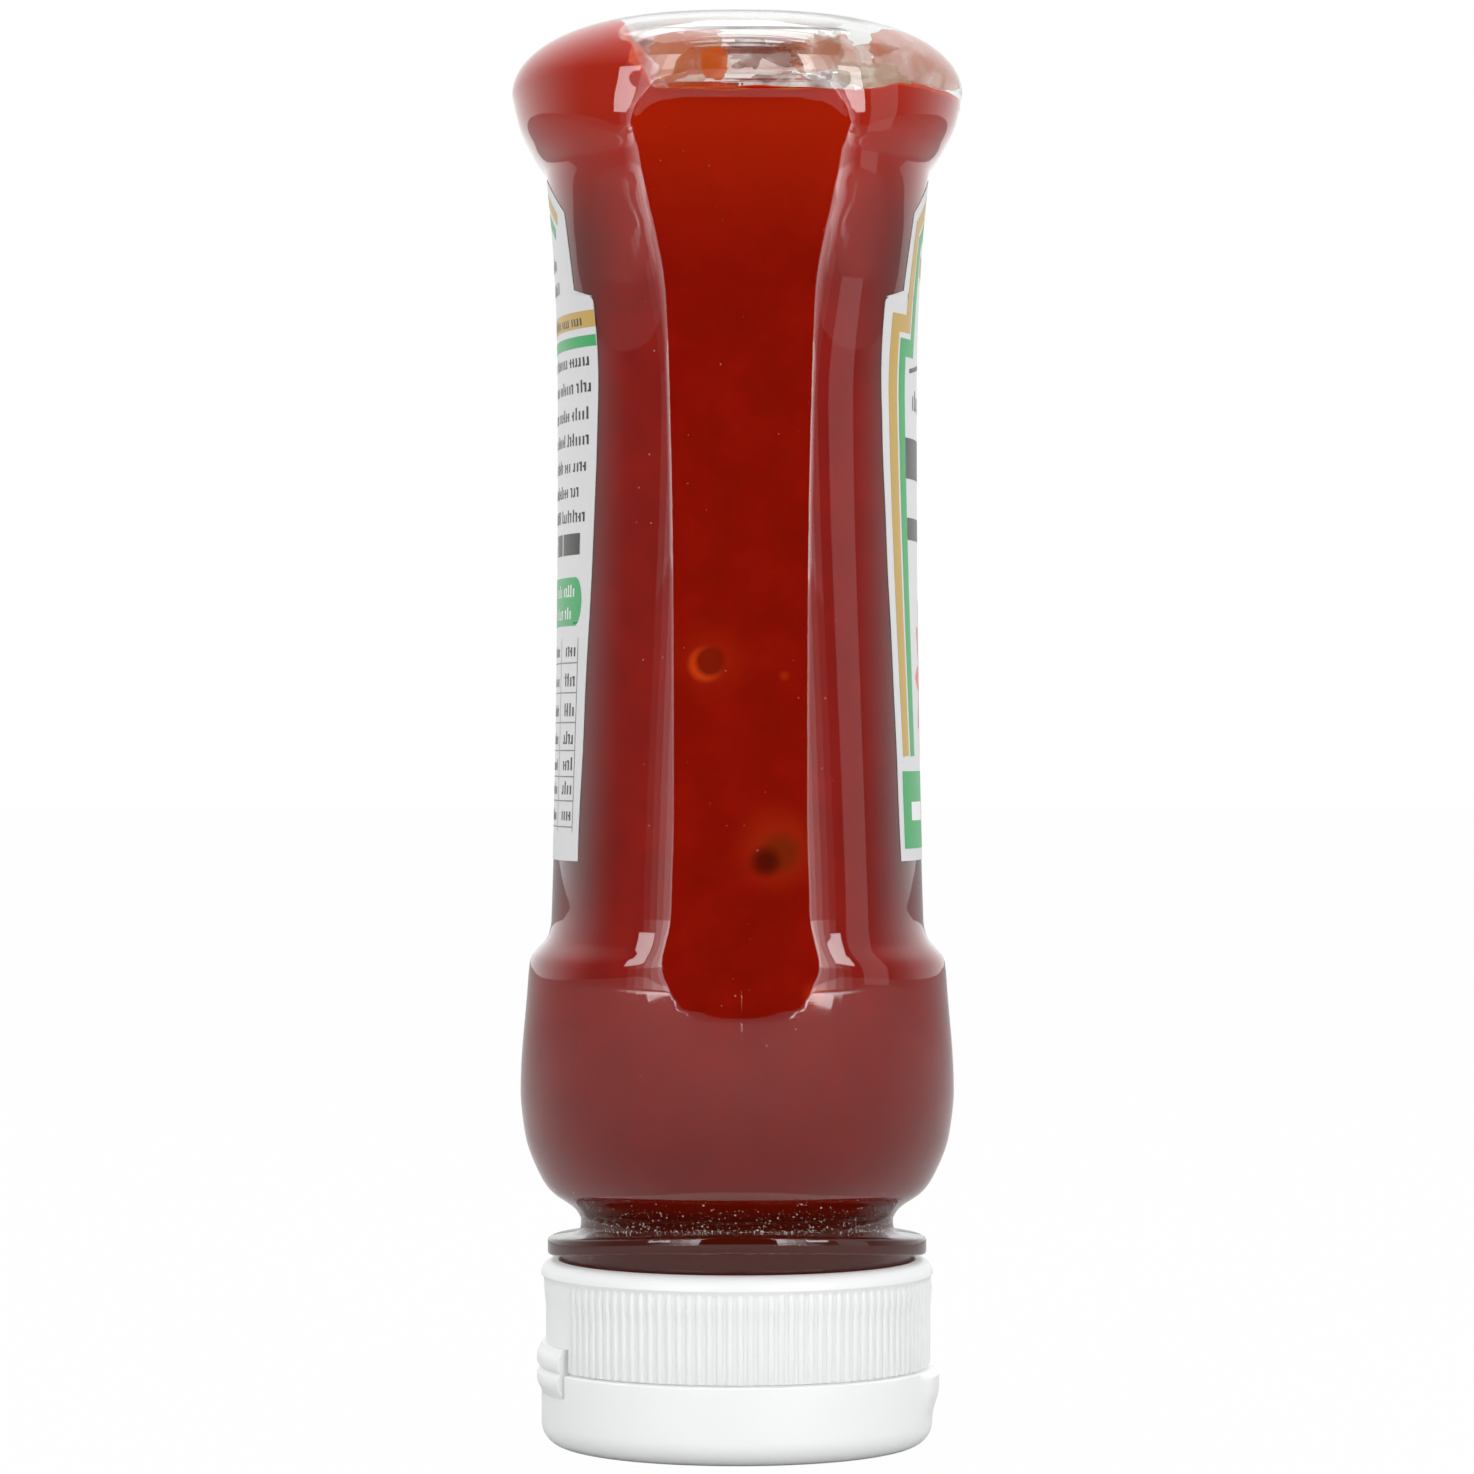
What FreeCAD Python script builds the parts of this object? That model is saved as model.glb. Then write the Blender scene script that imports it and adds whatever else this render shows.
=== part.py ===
import FreeCAD, Part
import math
import os

"""Squeeze bottle of ketchup that stands on its flip-top cap.

Frame: origin on the floor under the middle of the cap, +Z up through the neck
to the pushed-up base. X is the bottle's depth, from the back label at -X to the
front label at +X. Y is its width, from one side panel to the other. The lid's
thumb tab is at +X and its strap hinge at -X. Lengths are millimetres.
"""

# ------------------------------------------------------------ driving sizes
# Cap, from the floor up
lid_height = 8.6            # smooth lid that the bottle stands on
lid_reach = 0.2             # lid's side past the collar's rib tips
lid_foot_round = 2.6        # rounded edge at the floor
seam_gap = 0.15             # closed parting gap between lid and collar
collar_height = 11.6        # ribbed collar above the seam
collar_band_height = 3.6    # smooth rounded band over the ribs
collar_band_bulge = 0.25    # how far that band stands out past the ribs
collar_band_round = 1.5
collar_skirt = 1.7          # skirt wall outside the neck finish, ribs included
deck_thickness = 1.5        # collar's floor, which seals the mouth
rib_count = 120
rib_height = 0.28
rib_share = 0.5             # ridge's share of the rib pitch
tab_reach = 0.75            # thumb tab's overhang past the lid
tab_width = 15.0
tab_height = 5.4
tab_top_gap = 0.3           # tab's top below the seam
tab_lip_share = 0.45        # upright part of the tab, under it a slant
tab_root = 0.05             # slant's start inside the lid
hinge_width = 19.6
hinge_height = 5.2
hinge_thickness = 0.9
hinge_reach = 0.5           # strap's bulge past the lid
hinge_slot = 0.5            # open slot at each side of the strap

# Neck
bore_radius = 16.3
finish_wall = 3.0           # bore to the outside of the neck finish
finish_clearance = 0.25     # finish to the collar's bore
neck_wall = 0.85            # bore to the waist between transfer ring and body
ring_reach = 1.5            # transfer ring's overhang past the finish
ring_height = 2.4
ring_slope = 0.9            # sloped upper side of the ring
ring_edge = 0.35            # small flat on its edges
ring_lift = 0.5             # ring's underside above the collar
neck_gap = 1.6              # clear neck above the ring

# Body heights
shoulder_height = 3.2       # from the neck's waist to the body's rounded edge
bulge_rise = 11.0           # rounded edge to the widest part of the bulge
bulge_height = 10.8         # widest part of the bulge to its upper edge
step_height = 7.7           # curved step from the bulge in to the grip
grip_height = 81.25         # straight grip that carries the labels
flare_height = 9.0          # curve from the grip out to the heel
heel_rise = 7.2             # rounding from the widest heel to the base
waist_share = 0.69          # narrowest place, as a share of the grip's height

# Body half depths along X
shoulder_half_depth = 20.6
bulge_half_depth = 23.75
bulge_top_half_depth = 23.0
grip_foot_half_depth = 20.36
waist_half_depth = 19.6
grip_head_half_depth = 20.85
heel_half_depth = 24.7

# Body half widths along Y
shoulder_half_width = 21.6
bulge_half_width = 27.0
heel_half_width = 28.6

# Flat side panels: distance of the plane from the middle, and half breadth
panel_foot_plane = 26.1
panel_waist_plane = 25.4
panel_head_plane = 26.8
panel_foot_half = 6.8
panel_waist_half = 7.95
panel_head_half = 11.35
panel_corner = 0.5          # soft edge between panel and facet
panel_foot_drop = 0.4       # panel's bottom below the bulge's upper edge
panel_head_drop = 2.9       # panel's top below the widest heel
panel_end_length = 3.2      # rounding of the panel's two ends
panel_foot_inset = 0.2      # plane's bottom in from the bulge's side
panel_head_inset = 0.5      # plane's top in from the heel's side

# How the panel's half breadth changes between its foot, waist and head
panel_foot_narrowing = 0.2
panel_step_share = 0.6      # of the step's height
panel_step_extra = 0.65
panel_grip_rise = 1.5       # above the grip's foot
panel_spread_share = 0.17   # of the grip's height, down from its head
panel_spread_extra = 0.55
panel_fan_share = 0.085
panel_fan_short = 1.8
panel_top_share = 0.02
panel_top_short = 0.15

# Turning places of the body's outline: a share of the stretch's height, and the
# outline's distance there from the size that the stretch starts or ends with
shoulder_turn_share = 0.28
shoulder_turn_depth = 0.5
shoulder_turn_width = 0.6
bulge_foot_share = 0.2
bulge_foot_spread = 0.42    # share of the way out to the bulge
bulge_turn_share = 0.55
bulge_turn_inset = 0.5
bulge_side_share = 0.25
bulge_side_spread = 0.5
bulge_shade_share = 0.6
bulge_shade_inset = 0.75
step_edge_share = 0.31
step_edge_inset = 0.72
step_foot_share = 0.72
step_foot_reach = 0.38
flare_foot_share = 0.3
flare_foot_reach = 1.55
flare_turn_share = 0.62
flare_turn_inset = 0.83
heel_side_drop = 3.6
heel_side_inset = 0.45

# Roundness of the cross-section: 2 is an ellipse, more is squarer
neck_squareness = 2.0
bulge_squareness = 2.3
grip_squareness = 2.55
waist_squareness = 2.25
head_squareness = 2.85
heel_squareness = 2.35

# Heel rounding, seen from the side and from the front
heel_round_depth = 13.0
heel_round_width = 11.2
pushup_height = 4.2

wall = 0.6                  # bottle's wall

fill_gap = 5.4              # ketchup's level below the base's rim

# Labels: an arched head over a wider body
label_thickness = 0.12
label_foot_gap = 6.75       # bottom edge above the grip's foot
label_top_gap = 0.2         # arch's top below the grip's head
label_head_height = 14.2    # arch's top down to the step
label_arch_rise = 5.0
label_foot_half = 18.2      # half breadth at the bottom edge
label_step_half = 19.6      # half breadth just under the step
label_head_half = 15.6      # half breadth of the head
label_margin = 1.0          # spare sheet that the outline trims off

# ------------------------------------------------------------ derived places
collar_foot = lid_height + seam_gap
collar_top = collar_foot + collar_height
mouth_z = collar_foot + deck_thickness
ring_foot = collar_top + ring_lift
ring_top = ring_foot + ring_height
neck_z = ring_top + neck_gap
shoulder_z = neck_z + shoulder_height
bulge_z = shoulder_z + bulge_rise
bulge_top_z = bulge_z + bulge_height
grip_foot_z = bulge_top_z + step_height
grip_head_z = grip_foot_z + grip_height
heel_z = grip_head_z + flare_height
total_height = heel_z + heel_rise
waist_z = grip_foot_z + waist_share * grip_height

finish_radius = bore_radius + finish_wall
neck_radius = bore_radius + neck_wall
ring_radius = finish_radius + ring_reach
collar_bore = finish_radius + finish_clearance
collar_radius = collar_bore + collar_skirt
lid_radius = collar_radius + lid_reach
hinge_foot = lid_height - hinge_height / 2
hinge_top = collar_foot + hinge_height / 2
panel_foot_z = bulge_top_z - panel_foot_drop
panel_head_z = heel_z - panel_head_drop
fill_z = total_height - fill_gap

section_points = 64         # around one cross-section
row_spacing = 1.6           # between cross-sections up the body
heel_rows = 10              # cross-sections round the heel
pushup_rows = 6
label_points = 16           # across a label's slice


# ------------------------------------------------------------ curves
def smooth_curve(stations):
    """A curve through (height, value) stations that adds no bumps between them."""
    heights = [height for height, _ in stations]
    values = [value for _, value in stations]
    last = len(stations) - 1
    spans = [heights[i + 1] - heights[i] for i in range(last)]
    rises = [(values[i + 1] - values[i]) / spans[i] for i in range(last)]
    slopes = [rises[0]] + [0.0] * (last - 1) + [rises[-1]]
    for i in range(1, last):
        if rises[i - 1] * rises[i] > 0:
            before = 2 * spans[i] + spans[i - 1]
            after = spans[i] + 2 * spans[i - 1]
            slopes[i] = (before + after) / (before / rises[i - 1] + after / rises[i])

    def value_at(height):
        held = min(max(height, heights[0]), heights[-1])
        i = 0
        while i < last - 1 and held > heights[i + 1]:
            i += 1
        t = (held - heights[i]) / spans[i]
        from_start = (1 + 2 * t) * (1 - t) ** 2 * values[i] + t * (1 - t) ** 2 * spans[i] * slopes[i]
        from_end = t * t * (3 - 2 * t) * values[i + 1] + t * t * (t - 1) * spans[i] * slopes[i + 1]
        return from_start + from_end

    return value_at


half_depth_at = smooth_curve([
    (neck_z, neck_radius),
    (neck_z + shoulder_turn_share * shoulder_height, neck_radius + shoulder_turn_depth),
    (shoulder_z, shoulder_half_depth),
    (shoulder_z + bulge_foot_share * bulge_rise,
     shoulder_half_depth + bulge_foot_spread * (bulge_half_depth - shoulder_half_depth)),
    (shoulder_z + bulge_turn_share * bulge_rise, bulge_half_depth - bulge_turn_inset),
    (bulge_z, bulge_half_depth),
    (bulge_top_z, bulge_top_half_depth),
    (bulge_top_z + step_edge_share * step_height, bulge_top_half_depth - step_edge_inset),
    (bulge_top_z + step_foot_share * step_height, grip_foot_half_depth + step_foot_reach),
    (grip_foot_z, grip_foot_half_depth),
    (waist_z, waist_half_depth),
    (grip_head_z, grip_head_half_depth),
    (grip_head_z + flare_foot_share * flare_height, grip_head_half_depth + flare_foot_reach),
    (grip_head_z + flare_turn_share * flare_height, heel_half_depth - flare_turn_inset),
    (heel_z, heel_half_depth),
])

panel_plane_at = smooth_curve([
    (panel_foot_z, bulge_half_width - panel_foot_inset),
    (grip_foot_z, panel_foot_plane),
    (waist_z, panel_waist_plane),
    (grip_head_z, panel_head_plane),
    (panel_head_z, heel_half_width - panel_head_inset),
])

panel_half_at = smooth_curve([
    (panel_foot_z, panel_foot_half - panel_foot_narrowing),
    (bulge_top_z + panel_step_share * step_height, panel_foot_half + panel_step_extra),
    (grip_foot_z + panel_grip_rise, panel_foot_half),
    (waist_z, panel_waist_half),
    (grip_head_z - panel_spread_share * grip_height, panel_waist_half + panel_spread_extra),
    (grip_head_z - panel_fan_share * grip_height, panel_head_half - panel_fan_short),
    (grip_head_z - panel_top_share * grip_height, panel_head_half - panel_top_short),
    (panel_head_z, panel_head_half),
])

squareness_at = smooth_curve([
    (neck_z, neck_squareness),
    (bulge_z, bulge_squareness),
    (grip_foot_z, grip_squareness),
    (waist_z, waist_squareness),
    (grip_head_z, head_squareness),
    (heel_z, heel_squareness),
])

bare_half_width_at = smooth_curve([
    (neck_z, neck_radius),
    (neck_z + shoulder_turn_share * shoulder_height, neck_radius + shoulder_turn_width),
    (shoulder_z, shoulder_half_width),
    (shoulder_z + bulge_side_share * bulge_rise,
     shoulder_half_width + bulge_side_spread * (bulge_half_width - shoulder_half_width)),
    (shoulder_z + bulge_shade_share * bulge_rise, bulge_half_width - bulge_shade_inset),
    (bulge_z, bulge_half_width),
    (bulge_top_z, bulge_half_width),
    (heel_z - heel_side_drop, heel_half_width - heel_side_inset),
    (heel_z, heel_half_width),
])


def panel_end_share(z):
    """1 along the side panel, falling to 0 round its two rounded ends."""
    from_foot = min(max((z - panel_foot_z) / panel_end_length, 0.0), 1.0)
    from_head = min(max((panel_head_z - z) / panel_end_length, 0.0), 1.0)
    nearer = min(from_foot, from_head)
    return (1 - (1 - nearer) ** 3) ** (1 / 3)


def facet_half_width(z):
    """Half width of the cross-section before its side panels are cut flat."""
    if z <= panel_foot_z or z >= panel_head_z:
        return bare_half_width_at(z)
    breadth = panel_half_at(z) * panel_end_share(z) / half_depth_at(z)
    squareness = squareness_at(z)
    return panel_plane_at(z) / (1 - breadth ** squareness) ** (1 / squareness)


def panel_limit(z):
    """Distance from the middle at which a side panel cuts the cross-section."""
    if z <= panel_foot_z or z >= panel_head_z:
        return None
    return panel_plane_at(z)


def soft_least(value, limit, corner):
    """The lesser of two lengths, with the corner between them rounded off."""
    blend = max(corner - abs(value - limit), 0.0) / corner
    return min(value, limit) - blend * blend * corner / 4


def section_wire(half_depth, half_width, squareness, limit, z):
    """One closed cross-section, rounded-rectangular with flat side panels."""
    points = []
    for i in range(section_points):
        turn = 2 * math.pi * (i + 0.5) / section_points
        across = math.copysign(abs(math.cos(turn)) ** (2 / squareness), math.cos(turn))
        along = abs(math.sin(turn)) ** (2 / squareness) * half_width
        if limit is not None:
            along = soft_least(along, limit, panel_corner)
        points.append(FreeCAD.Vector(across * half_depth, math.copysign(along, math.sin(turn)), z))
    outline = Part.BSplineCurve()
    shares = [i / section_points for i in range(section_points + 1)]
    outline.interpolate(Points=points, PeriodicFlag=True, Parameters=shares)
    return Part.Wire([outline.toShape()])


def body_wire(z, inset):
    """The body's cross-section at a height, set in by a wall."""
    limit = panel_limit(z)
    return section_wire(
        half_depth_at(z) - inset,
        facet_half_width(z) - inset,
        squareness_at(z),
        None if limit is None else limit - inset,
        z,
    )


def spaced(start, end, spacing):
    """Even heights from start to end, both included."""
    steps = max(1, math.ceil((end - start) / spacing))
    return [start + (end - start) * i / steps for i in range(steps + 1)]


def body_heights():
    """Heights of the body's cross-sections, from the neck's waist to the heel."""
    return spaced(neck_z, heel_z, row_spacing)


def box_round_x(x_start, x_end, width, z_start, z_end):
    """A block centred on Y between two places along X."""
    corner = FreeCAD.Vector(min(x_start, x_end), -width / 2, z_start)
    return Part.makeBox(abs(x_end - x_start), width, z_end - z_start, corner)


# ------------------------------------------------------------ bottle
def round_wire(radius, z):
    """A circle about the axis, spaced as the other cross-sections are."""
    return section_wire(radius, radius, neck_squareness, None, z)


def corner_bands(profile):
    """Bands between neighbouring (radius, height) corners of a turned profile."""
    rings = [round_wire(radius, z) for radius, z in profile]
    return [list(pair) for pair in zip(rings, rings[1:])]


def body_band(inset, foot_wire, level=None):
    """Cross-sections from a foot up to the base's rim, or to a lower level."""
    wires = [foot_wire] + [body_wire(z, inset) for z in body_heights()[1:]]
    rise = heel_rise - inset
    last_lean = math.pi / 2 if level is None else math.asin((level - heel_z) / rise)
    rows = math.ceil(heel_rows * last_lean / (math.pi / 2))
    for i in range(1, rows + 1):
        lean = last_lean * i / rows
        inward = 1 - math.cos(lean)
        wires.append(section_wire(
            heel_half_depth - inset - (heel_round_depth - inset) * inward,
            heel_half_width - inset - (heel_round_width - inset) * inward,
            heel_squareness,
            None,
            heel_z + rise * math.sin(lean),
        ))
    return wires


def pushup_band(rim_wire, inset):
    """The dome pushed up into the base, from its rim to a flat spot."""
    wires = [rim_wire]
    dome_depth = heel_half_depth - heel_round_depth
    dome_width = heel_half_width - heel_round_width
    for i in range(1, pushup_rows + 1):
        share = 1 - i / (pushup_rows + 1)
        wires.append(section_wire(
            dome_depth * share,
            dome_width * share,
            heel_squareness,
            None,
            total_height - inset - pushup_height * math.sqrt(1 - share * share),
        ))
    return wires


def band_faces(band):
    """Straight between two cross-sections, smooth through more."""
    if len(band) == 2:
        return Part.makeRuledSurface(band[0].Edges[0], band[1].Edges[0]).Faces
    return Part.makeLoft(band, False).Faces


def closed_solid(bands, caps):
    """A solid from bands that share their end wires, and flat end faces."""
    faces = [face for band in bands for face in band_faces(band)]
    faces += [Part.Face(wire) for wire in caps]
    skin = Part.makeShell(faces)
    skin.sewShape()
    solid = Part.makeSolid(skin.Shells[0] if skin.ShapeType == "Compound" else skin)
    if solid.Volume < 0:
        solid.reverse()
    return solid


def outer_bands():
    """The bottle's outside, from the mouth to the flat spot in the pushed-up base."""
    neck = corner_bands([
        (finish_radius, mouth_z),
        (finish_radius, ring_foot),
        (ring_radius - ring_edge, ring_foot),
        (ring_radius, ring_foot + ring_edge),
        (ring_radius, ring_top - ring_slope),
        (ring_radius - ring_edge, ring_top - ring_slope + ring_edge),
        (neck_radius, ring_top),
        (neck_radius, neck_z),
    ])
    body = body_band(0.0, neck[-1][-1])
    return neck + [body, pushup_band(body[-1], 0.0)]


def bore_bands():
    """The bore, from the mouth to where the body opens out."""
    return corner_bands([(bore_radius, mouth_z), (bore_radius, neck_z)])


def make_bottle():
    """Clear shell: outside, inside and the rim of the mouth."""
    outside = outer_bands()
    bore = bore_bands()
    lining = body_band(wall, bore[-1][-1])
    inside = bore + [lining, pushup_band(lining[-1], wall)]
    rim = [bore[0][0], outside[0][0]]
    return closed_solid(outside + inside + [rim], [outside[-1][-1], inside[-1][-1]])


def make_ketchup():
    """Filling inside the wall, from the mouth up to its level."""
    bore = bore_bands()
    filling = body_band(wall, bore[-1][-1], fill_z)
    return closed_solid(bore + [filling], [bore[0][0], filling[-1]])


# ------------------------------------------------------------ labels
def skin_depth(z, y, inset):
    """How far the body's label face lies from the middle at a height and y."""
    squareness = squareness_at(z)
    share = abs(y) / (facet_half_width(z) - inset)
    return (half_depth_at(z) - inset) * (1 - share ** squareness) ** (1 / squareness)


def strip_wire(side, z, half_breadth):
    """Outline of a label's level slice, between the body and its own face."""
    shares = [2 * i / label_points - 1 for i in range(label_points + 1)]

    def face_curve(inset, ways):
        curve = Part.BSplineCurve()
        curve.interpolate(
            Points=[
                FreeCAD.Vector(side * skin_depth(z, way * half_breadth, inset), way * half_breadth, z)
                for way in ways
            ],
            Parameters=[i / label_points for i in range(label_points + 1)],
        )
        return curve.toShape()

    outer = face_curve(-label_thickness, shares)
    inner = face_curve(0.0, shares[::-1])
    first_end = Part.LineSegment(outer.Vertexes[-1].Point, inner.Vertexes[0].Point).toShape()
    last_end = Part.LineSegment(inner.Vertexes[-1].Point, outer.Vertexes[0].Point).toShape()
    return Part.Wire([outer, first_end, inner, last_end])


def label_outline():
    """Face in the YZ plane: an arched head on a slightly tapered body."""
    foot_z = grip_foot_z + label_foot_gap
    top_z = grip_head_z - label_top_gap
    step_z = top_z - label_head_height
    left = [
        (-label_head_half, top_z - label_arch_rise),
        (-label_head_half, step_z),
        (-label_step_half, step_z),
        (-label_foot_half, foot_z),
    ]
    right = [(-y, z) for y, z in reversed(left)]
    corners = [FreeCAD.Vector(0, y, z) for y, z in left + right]
    sides = [Part.LineSegment(a, b).toShape() for a, b in zip(corners, corners[1:])]
    arch = Part.Arc(corners[-1], FreeCAD.Vector(0, 0, top_z), corners[0]).toShape()
    return Part.Face(Part.Wire(sides + [arch]))


def make_label(side):
    """Skin on the front (+1) or back (-1) face of the grip."""
    outline = label_outline()
    low, high = outline.BoundBox.ZMin - label_margin, outline.BoundBox.ZMax + label_margin
    breadth = label_step_half + label_margin
    sheet = Part.makeLoft([strip_wire(side, z, breadth) for z in spaced(low, high, row_spacing)], True)
    return sheet.common(outline.extrude(FreeCAD.Vector(side * 2 * heel_half_depth, 0, 0)))


# ------------------------------------------------------------ cap
def around_z(radius, turn, z):
    """The point at a radius and an angle about the bottle's axis."""
    return FreeCAD.Vector(radius * math.cos(turn), radius * math.sin(turn), z)


def ribbed_skirt():
    """Collar's lower part: a disc whose rim carries upright ridges."""
    root = collar_radius - rib_height
    pitch = 2 * math.pi / rib_count
    half_ridge = pitch * rib_share / 2
    edges = []
    for i in range(rib_count):
        middle = i * pitch
        start, end = middle - half_ridge, middle + half_ridge
        ridge = Part.Arc(
            around_z(root, start, collar_foot),
            around_z(collar_radius, middle, collar_foot),
            around_z(root, end, collar_foot),
        )
        valley = Part.Arc(
            around_z(root, end, collar_foot),
            around_z(root, middle + pitch / 2, collar_foot),
            around_z(root, start + pitch, collar_foot),
        )
        edges += [ridge.toShape(), valley.toShape()]
    height = collar_height - collar_band_height
    return Part.Face(Part.Wire(edges)).extrude(FreeCAD.Vector(0, 0, height))


def hinge_sector(width, reach, depth, z_start, z_end):
    """A curved block at -X between two heights, out to a reach past the lid."""
    ring = Part.makeCylinder(lid_radius + reach, z_end - z_start, FreeCAD.Vector(0, 0, z_start))
    core = Part.makeCylinder(lid_radius - depth, z_end - z_start, FreeCAD.Vector(0, 0, z_start))
    block = box_round_x(-2 * lid_radius, 0, width, z_start, z_end)
    return ring.cut(core).common(block)


def hinge_pocket():
    """Room for the strap and its two side slots, open to the outside."""
    return hinge_sector(hinge_width + 2 * hinge_slot, collar_radius, hinge_thickness,
                        hinge_foot, hinge_top)


def make_collar():
    """Collar that holds the neck finish: ribbed skirt, smooth band and deck."""
    skirt = ribbed_skirt()
    band_foot = collar_foot + collar_height - collar_band_height
    band = Part.makeCylinder(
        collar_radius + collar_band_bulge, collar_band_height, FreeCAD.Vector(0, 0, band_foot)
    )
    rims = [edge for edge in band.Edges if len(edge.Vertexes) == 1 and edge.CenterOfMass.z > band_foot + 1]
    band = band.makeFillet(collar_band_round, rims)
    bore = Part.makeCylinder(collar_bore, collar_height, FreeCAD.Vector(0, 0, mouth_z))
    return skirt.fuse(band).cut(bore).cut(hinge_pocket()).removeSplitter()


def make_lid():
    """Lid with a rounded foot, a thumb tab and its share of the hinge pocket."""
    puck = Part.makeCylinder(lid_radius, lid_height)
    rims = [edge for edge in puck.Edges if len(edge.Vertexes) == 1 and edge.CenterOfMass.z < 1]
    puck = puck.makeFillet(lid_foot_round, rims)
    tab_top = lid_height - tab_top_gap
    slant_top = tab_top - tab_lip_share * tab_height
    slant = Part.makeCone(
        lid_radius - tab_root, lid_radius + tab_reach, slant_top - tab_top + tab_height,
        FreeCAD.Vector(0, 0, tab_top - tab_height),
    )
    lip = Part.makeCylinder(lid_radius + tab_reach, tab_top - slant_top, FreeCAD.Vector(0, 0, slant_top))
    side = box_round_x(0, 2 * lid_radius, tab_width, tab_top - tab_height, tab_top)
    tab = slant.fuse(lip).common(side)
    return puck.fuse(tab).cut(hinge_pocket()).removeSplitter()


def make_hinge():
    """Strap that joins lid and collar across the seam."""
    return hinge_sector(hinge_width, hinge_reach, hinge_thickness, hinge_foot, hinge_top)


# ------------------------------------------------------------ export
pieces = {
    "bottle": make_bottle(),
    "ketchup": make_ketchup(),
    "label_front": make_label(1),
    "label_back": make_label(-1),
    "cap_collar": make_collar(),
    "cap_lid": make_lid(),
    "cap_hinge": make_hinge(),
}

os.makedirs("parts", exist_ok=True)
for name, shape in pieces.items():
    solid, = shape.Solids
    solid.exportStep("parts/" + name + ".step")
    print(name, "valid", solid.isValid(), "volume", round(solid.Volume), "mm3")
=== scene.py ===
"""Squeeze bottle of ketchup, standing upside down on its white flip-top cap.

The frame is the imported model's: metres, +Z up from the floor under the cap, the
front label at +X, the back label at -X and a flat side panel at each end of Y.
Shape values below are millimetres; MM turns them into metres at the mesh.
"""
import bisect
import math
import random
import bmesh
import bpy
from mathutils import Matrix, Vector, noise


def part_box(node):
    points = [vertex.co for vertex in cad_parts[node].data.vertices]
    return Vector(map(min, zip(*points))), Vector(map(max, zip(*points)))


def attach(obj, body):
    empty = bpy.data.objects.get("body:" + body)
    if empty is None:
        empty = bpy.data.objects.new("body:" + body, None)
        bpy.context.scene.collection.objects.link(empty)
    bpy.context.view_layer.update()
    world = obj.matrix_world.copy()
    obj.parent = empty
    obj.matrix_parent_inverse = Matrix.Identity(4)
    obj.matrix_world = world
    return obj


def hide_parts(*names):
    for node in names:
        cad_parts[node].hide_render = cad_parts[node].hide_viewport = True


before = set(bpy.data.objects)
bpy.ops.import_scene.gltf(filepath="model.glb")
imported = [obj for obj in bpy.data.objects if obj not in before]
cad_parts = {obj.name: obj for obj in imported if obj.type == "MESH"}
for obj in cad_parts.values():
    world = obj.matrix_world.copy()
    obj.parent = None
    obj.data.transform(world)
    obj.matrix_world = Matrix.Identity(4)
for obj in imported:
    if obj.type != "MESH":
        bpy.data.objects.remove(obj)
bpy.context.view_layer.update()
MM = 0.001


def corner_mm(node, end, axis):
    """One side of a node's box, in millimetres: end 0 is low, 1 is high."""
    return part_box(node)[end][axis] / MM


# ------------------------------------------------------------ sizes, in mm
mouth_z = corner_mm("bottle", 0, 2)
total_height = corner_mm("bottle", 1, 2)
lid_height = corner_mm("cap_lid", 1, 2)
collar_foot = corner_mm("cap_collar", 0, 2)
collar_top = corner_mm("cap_collar", 1, 2)
label_foot_z = corner_mm("label_front", 0, 2)
hinge_foot = corner_mm("cap_hinge", 0, 2)
hinge_top = corner_mm("cap_hinge", 1, 2)

wall = 0.6
bore_radius = 16.3
finish_radius = 19.3
neck_radius = 17.15
ring_radius = 20.8
ring_height = 2.4
ring_slope = 0.9
ring_lift = 0.5
neck_gap = 1.6

shoulder_height = 3.2
bulge_rise = 11.0
bulge_height = 10.8
step_height = 7.7
flare_height = 9.0
heel_rise = 7.2

ring_foot = collar_top + ring_lift
ring_top = ring_foot + ring_height
neck_z = ring_top + neck_gap
shoulder_z = neck_z + shoulder_height
bulge_z = shoulder_z + bulge_rise
bulge_top_z = bulge_z + bulge_height
grip_foot_z = bulge_top_z + step_height
heel_z = total_height - heel_rise
grip_head_z = heel_z - flare_height
grip_height = grip_head_z - grip_foot_z
waist_z = grip_foot_z + 0.69 * grip_height

shoulder_half_depth = 20.6
bulge_half_depth = 23.75
bulge_top_half_depth = 23.0
grip_foot_half_depth = 20.36
waist_half_depth = 19.6
grip_head_half_depth = 20.85
heel_half_depth = corner_mm("bottle", 1, 0)
shoulder_half_width = 21.6
bulge_half_width = 27.0
heel_half_width = corner_mm("bottle", 1, 1)

panel_foot_plane = 26.1
panel_waist_plane = 25.4
panel_head_plane = 26.4
panel_ledge_plane = 26.7    # under the ledge where the panel ends at the heel
panel_foot_half = 6.8
panel_waist_half = 7.95
panel_head_half = 11.35
panel_foot_z = bulge_top_z - 0.4
panel_head_z = heel_z - 2.9

neck_squareness = 2.0
bulge_squareness = 2.3
grip_squareness = 2.55
waist_squareness = 2.25
head_squareness = 2.85
heel_squareness = 2.35
heel_round_depth = 13.0
heel_round_width = 11.2
pushup_height = 4.2

parting_rise = 0.035        # moulding line along the middle of each side panel
parting_half = 0.16

lid_radius = 21.45
collar_radius = 21.25
rib_height = 0.28
rib_count = 120


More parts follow.
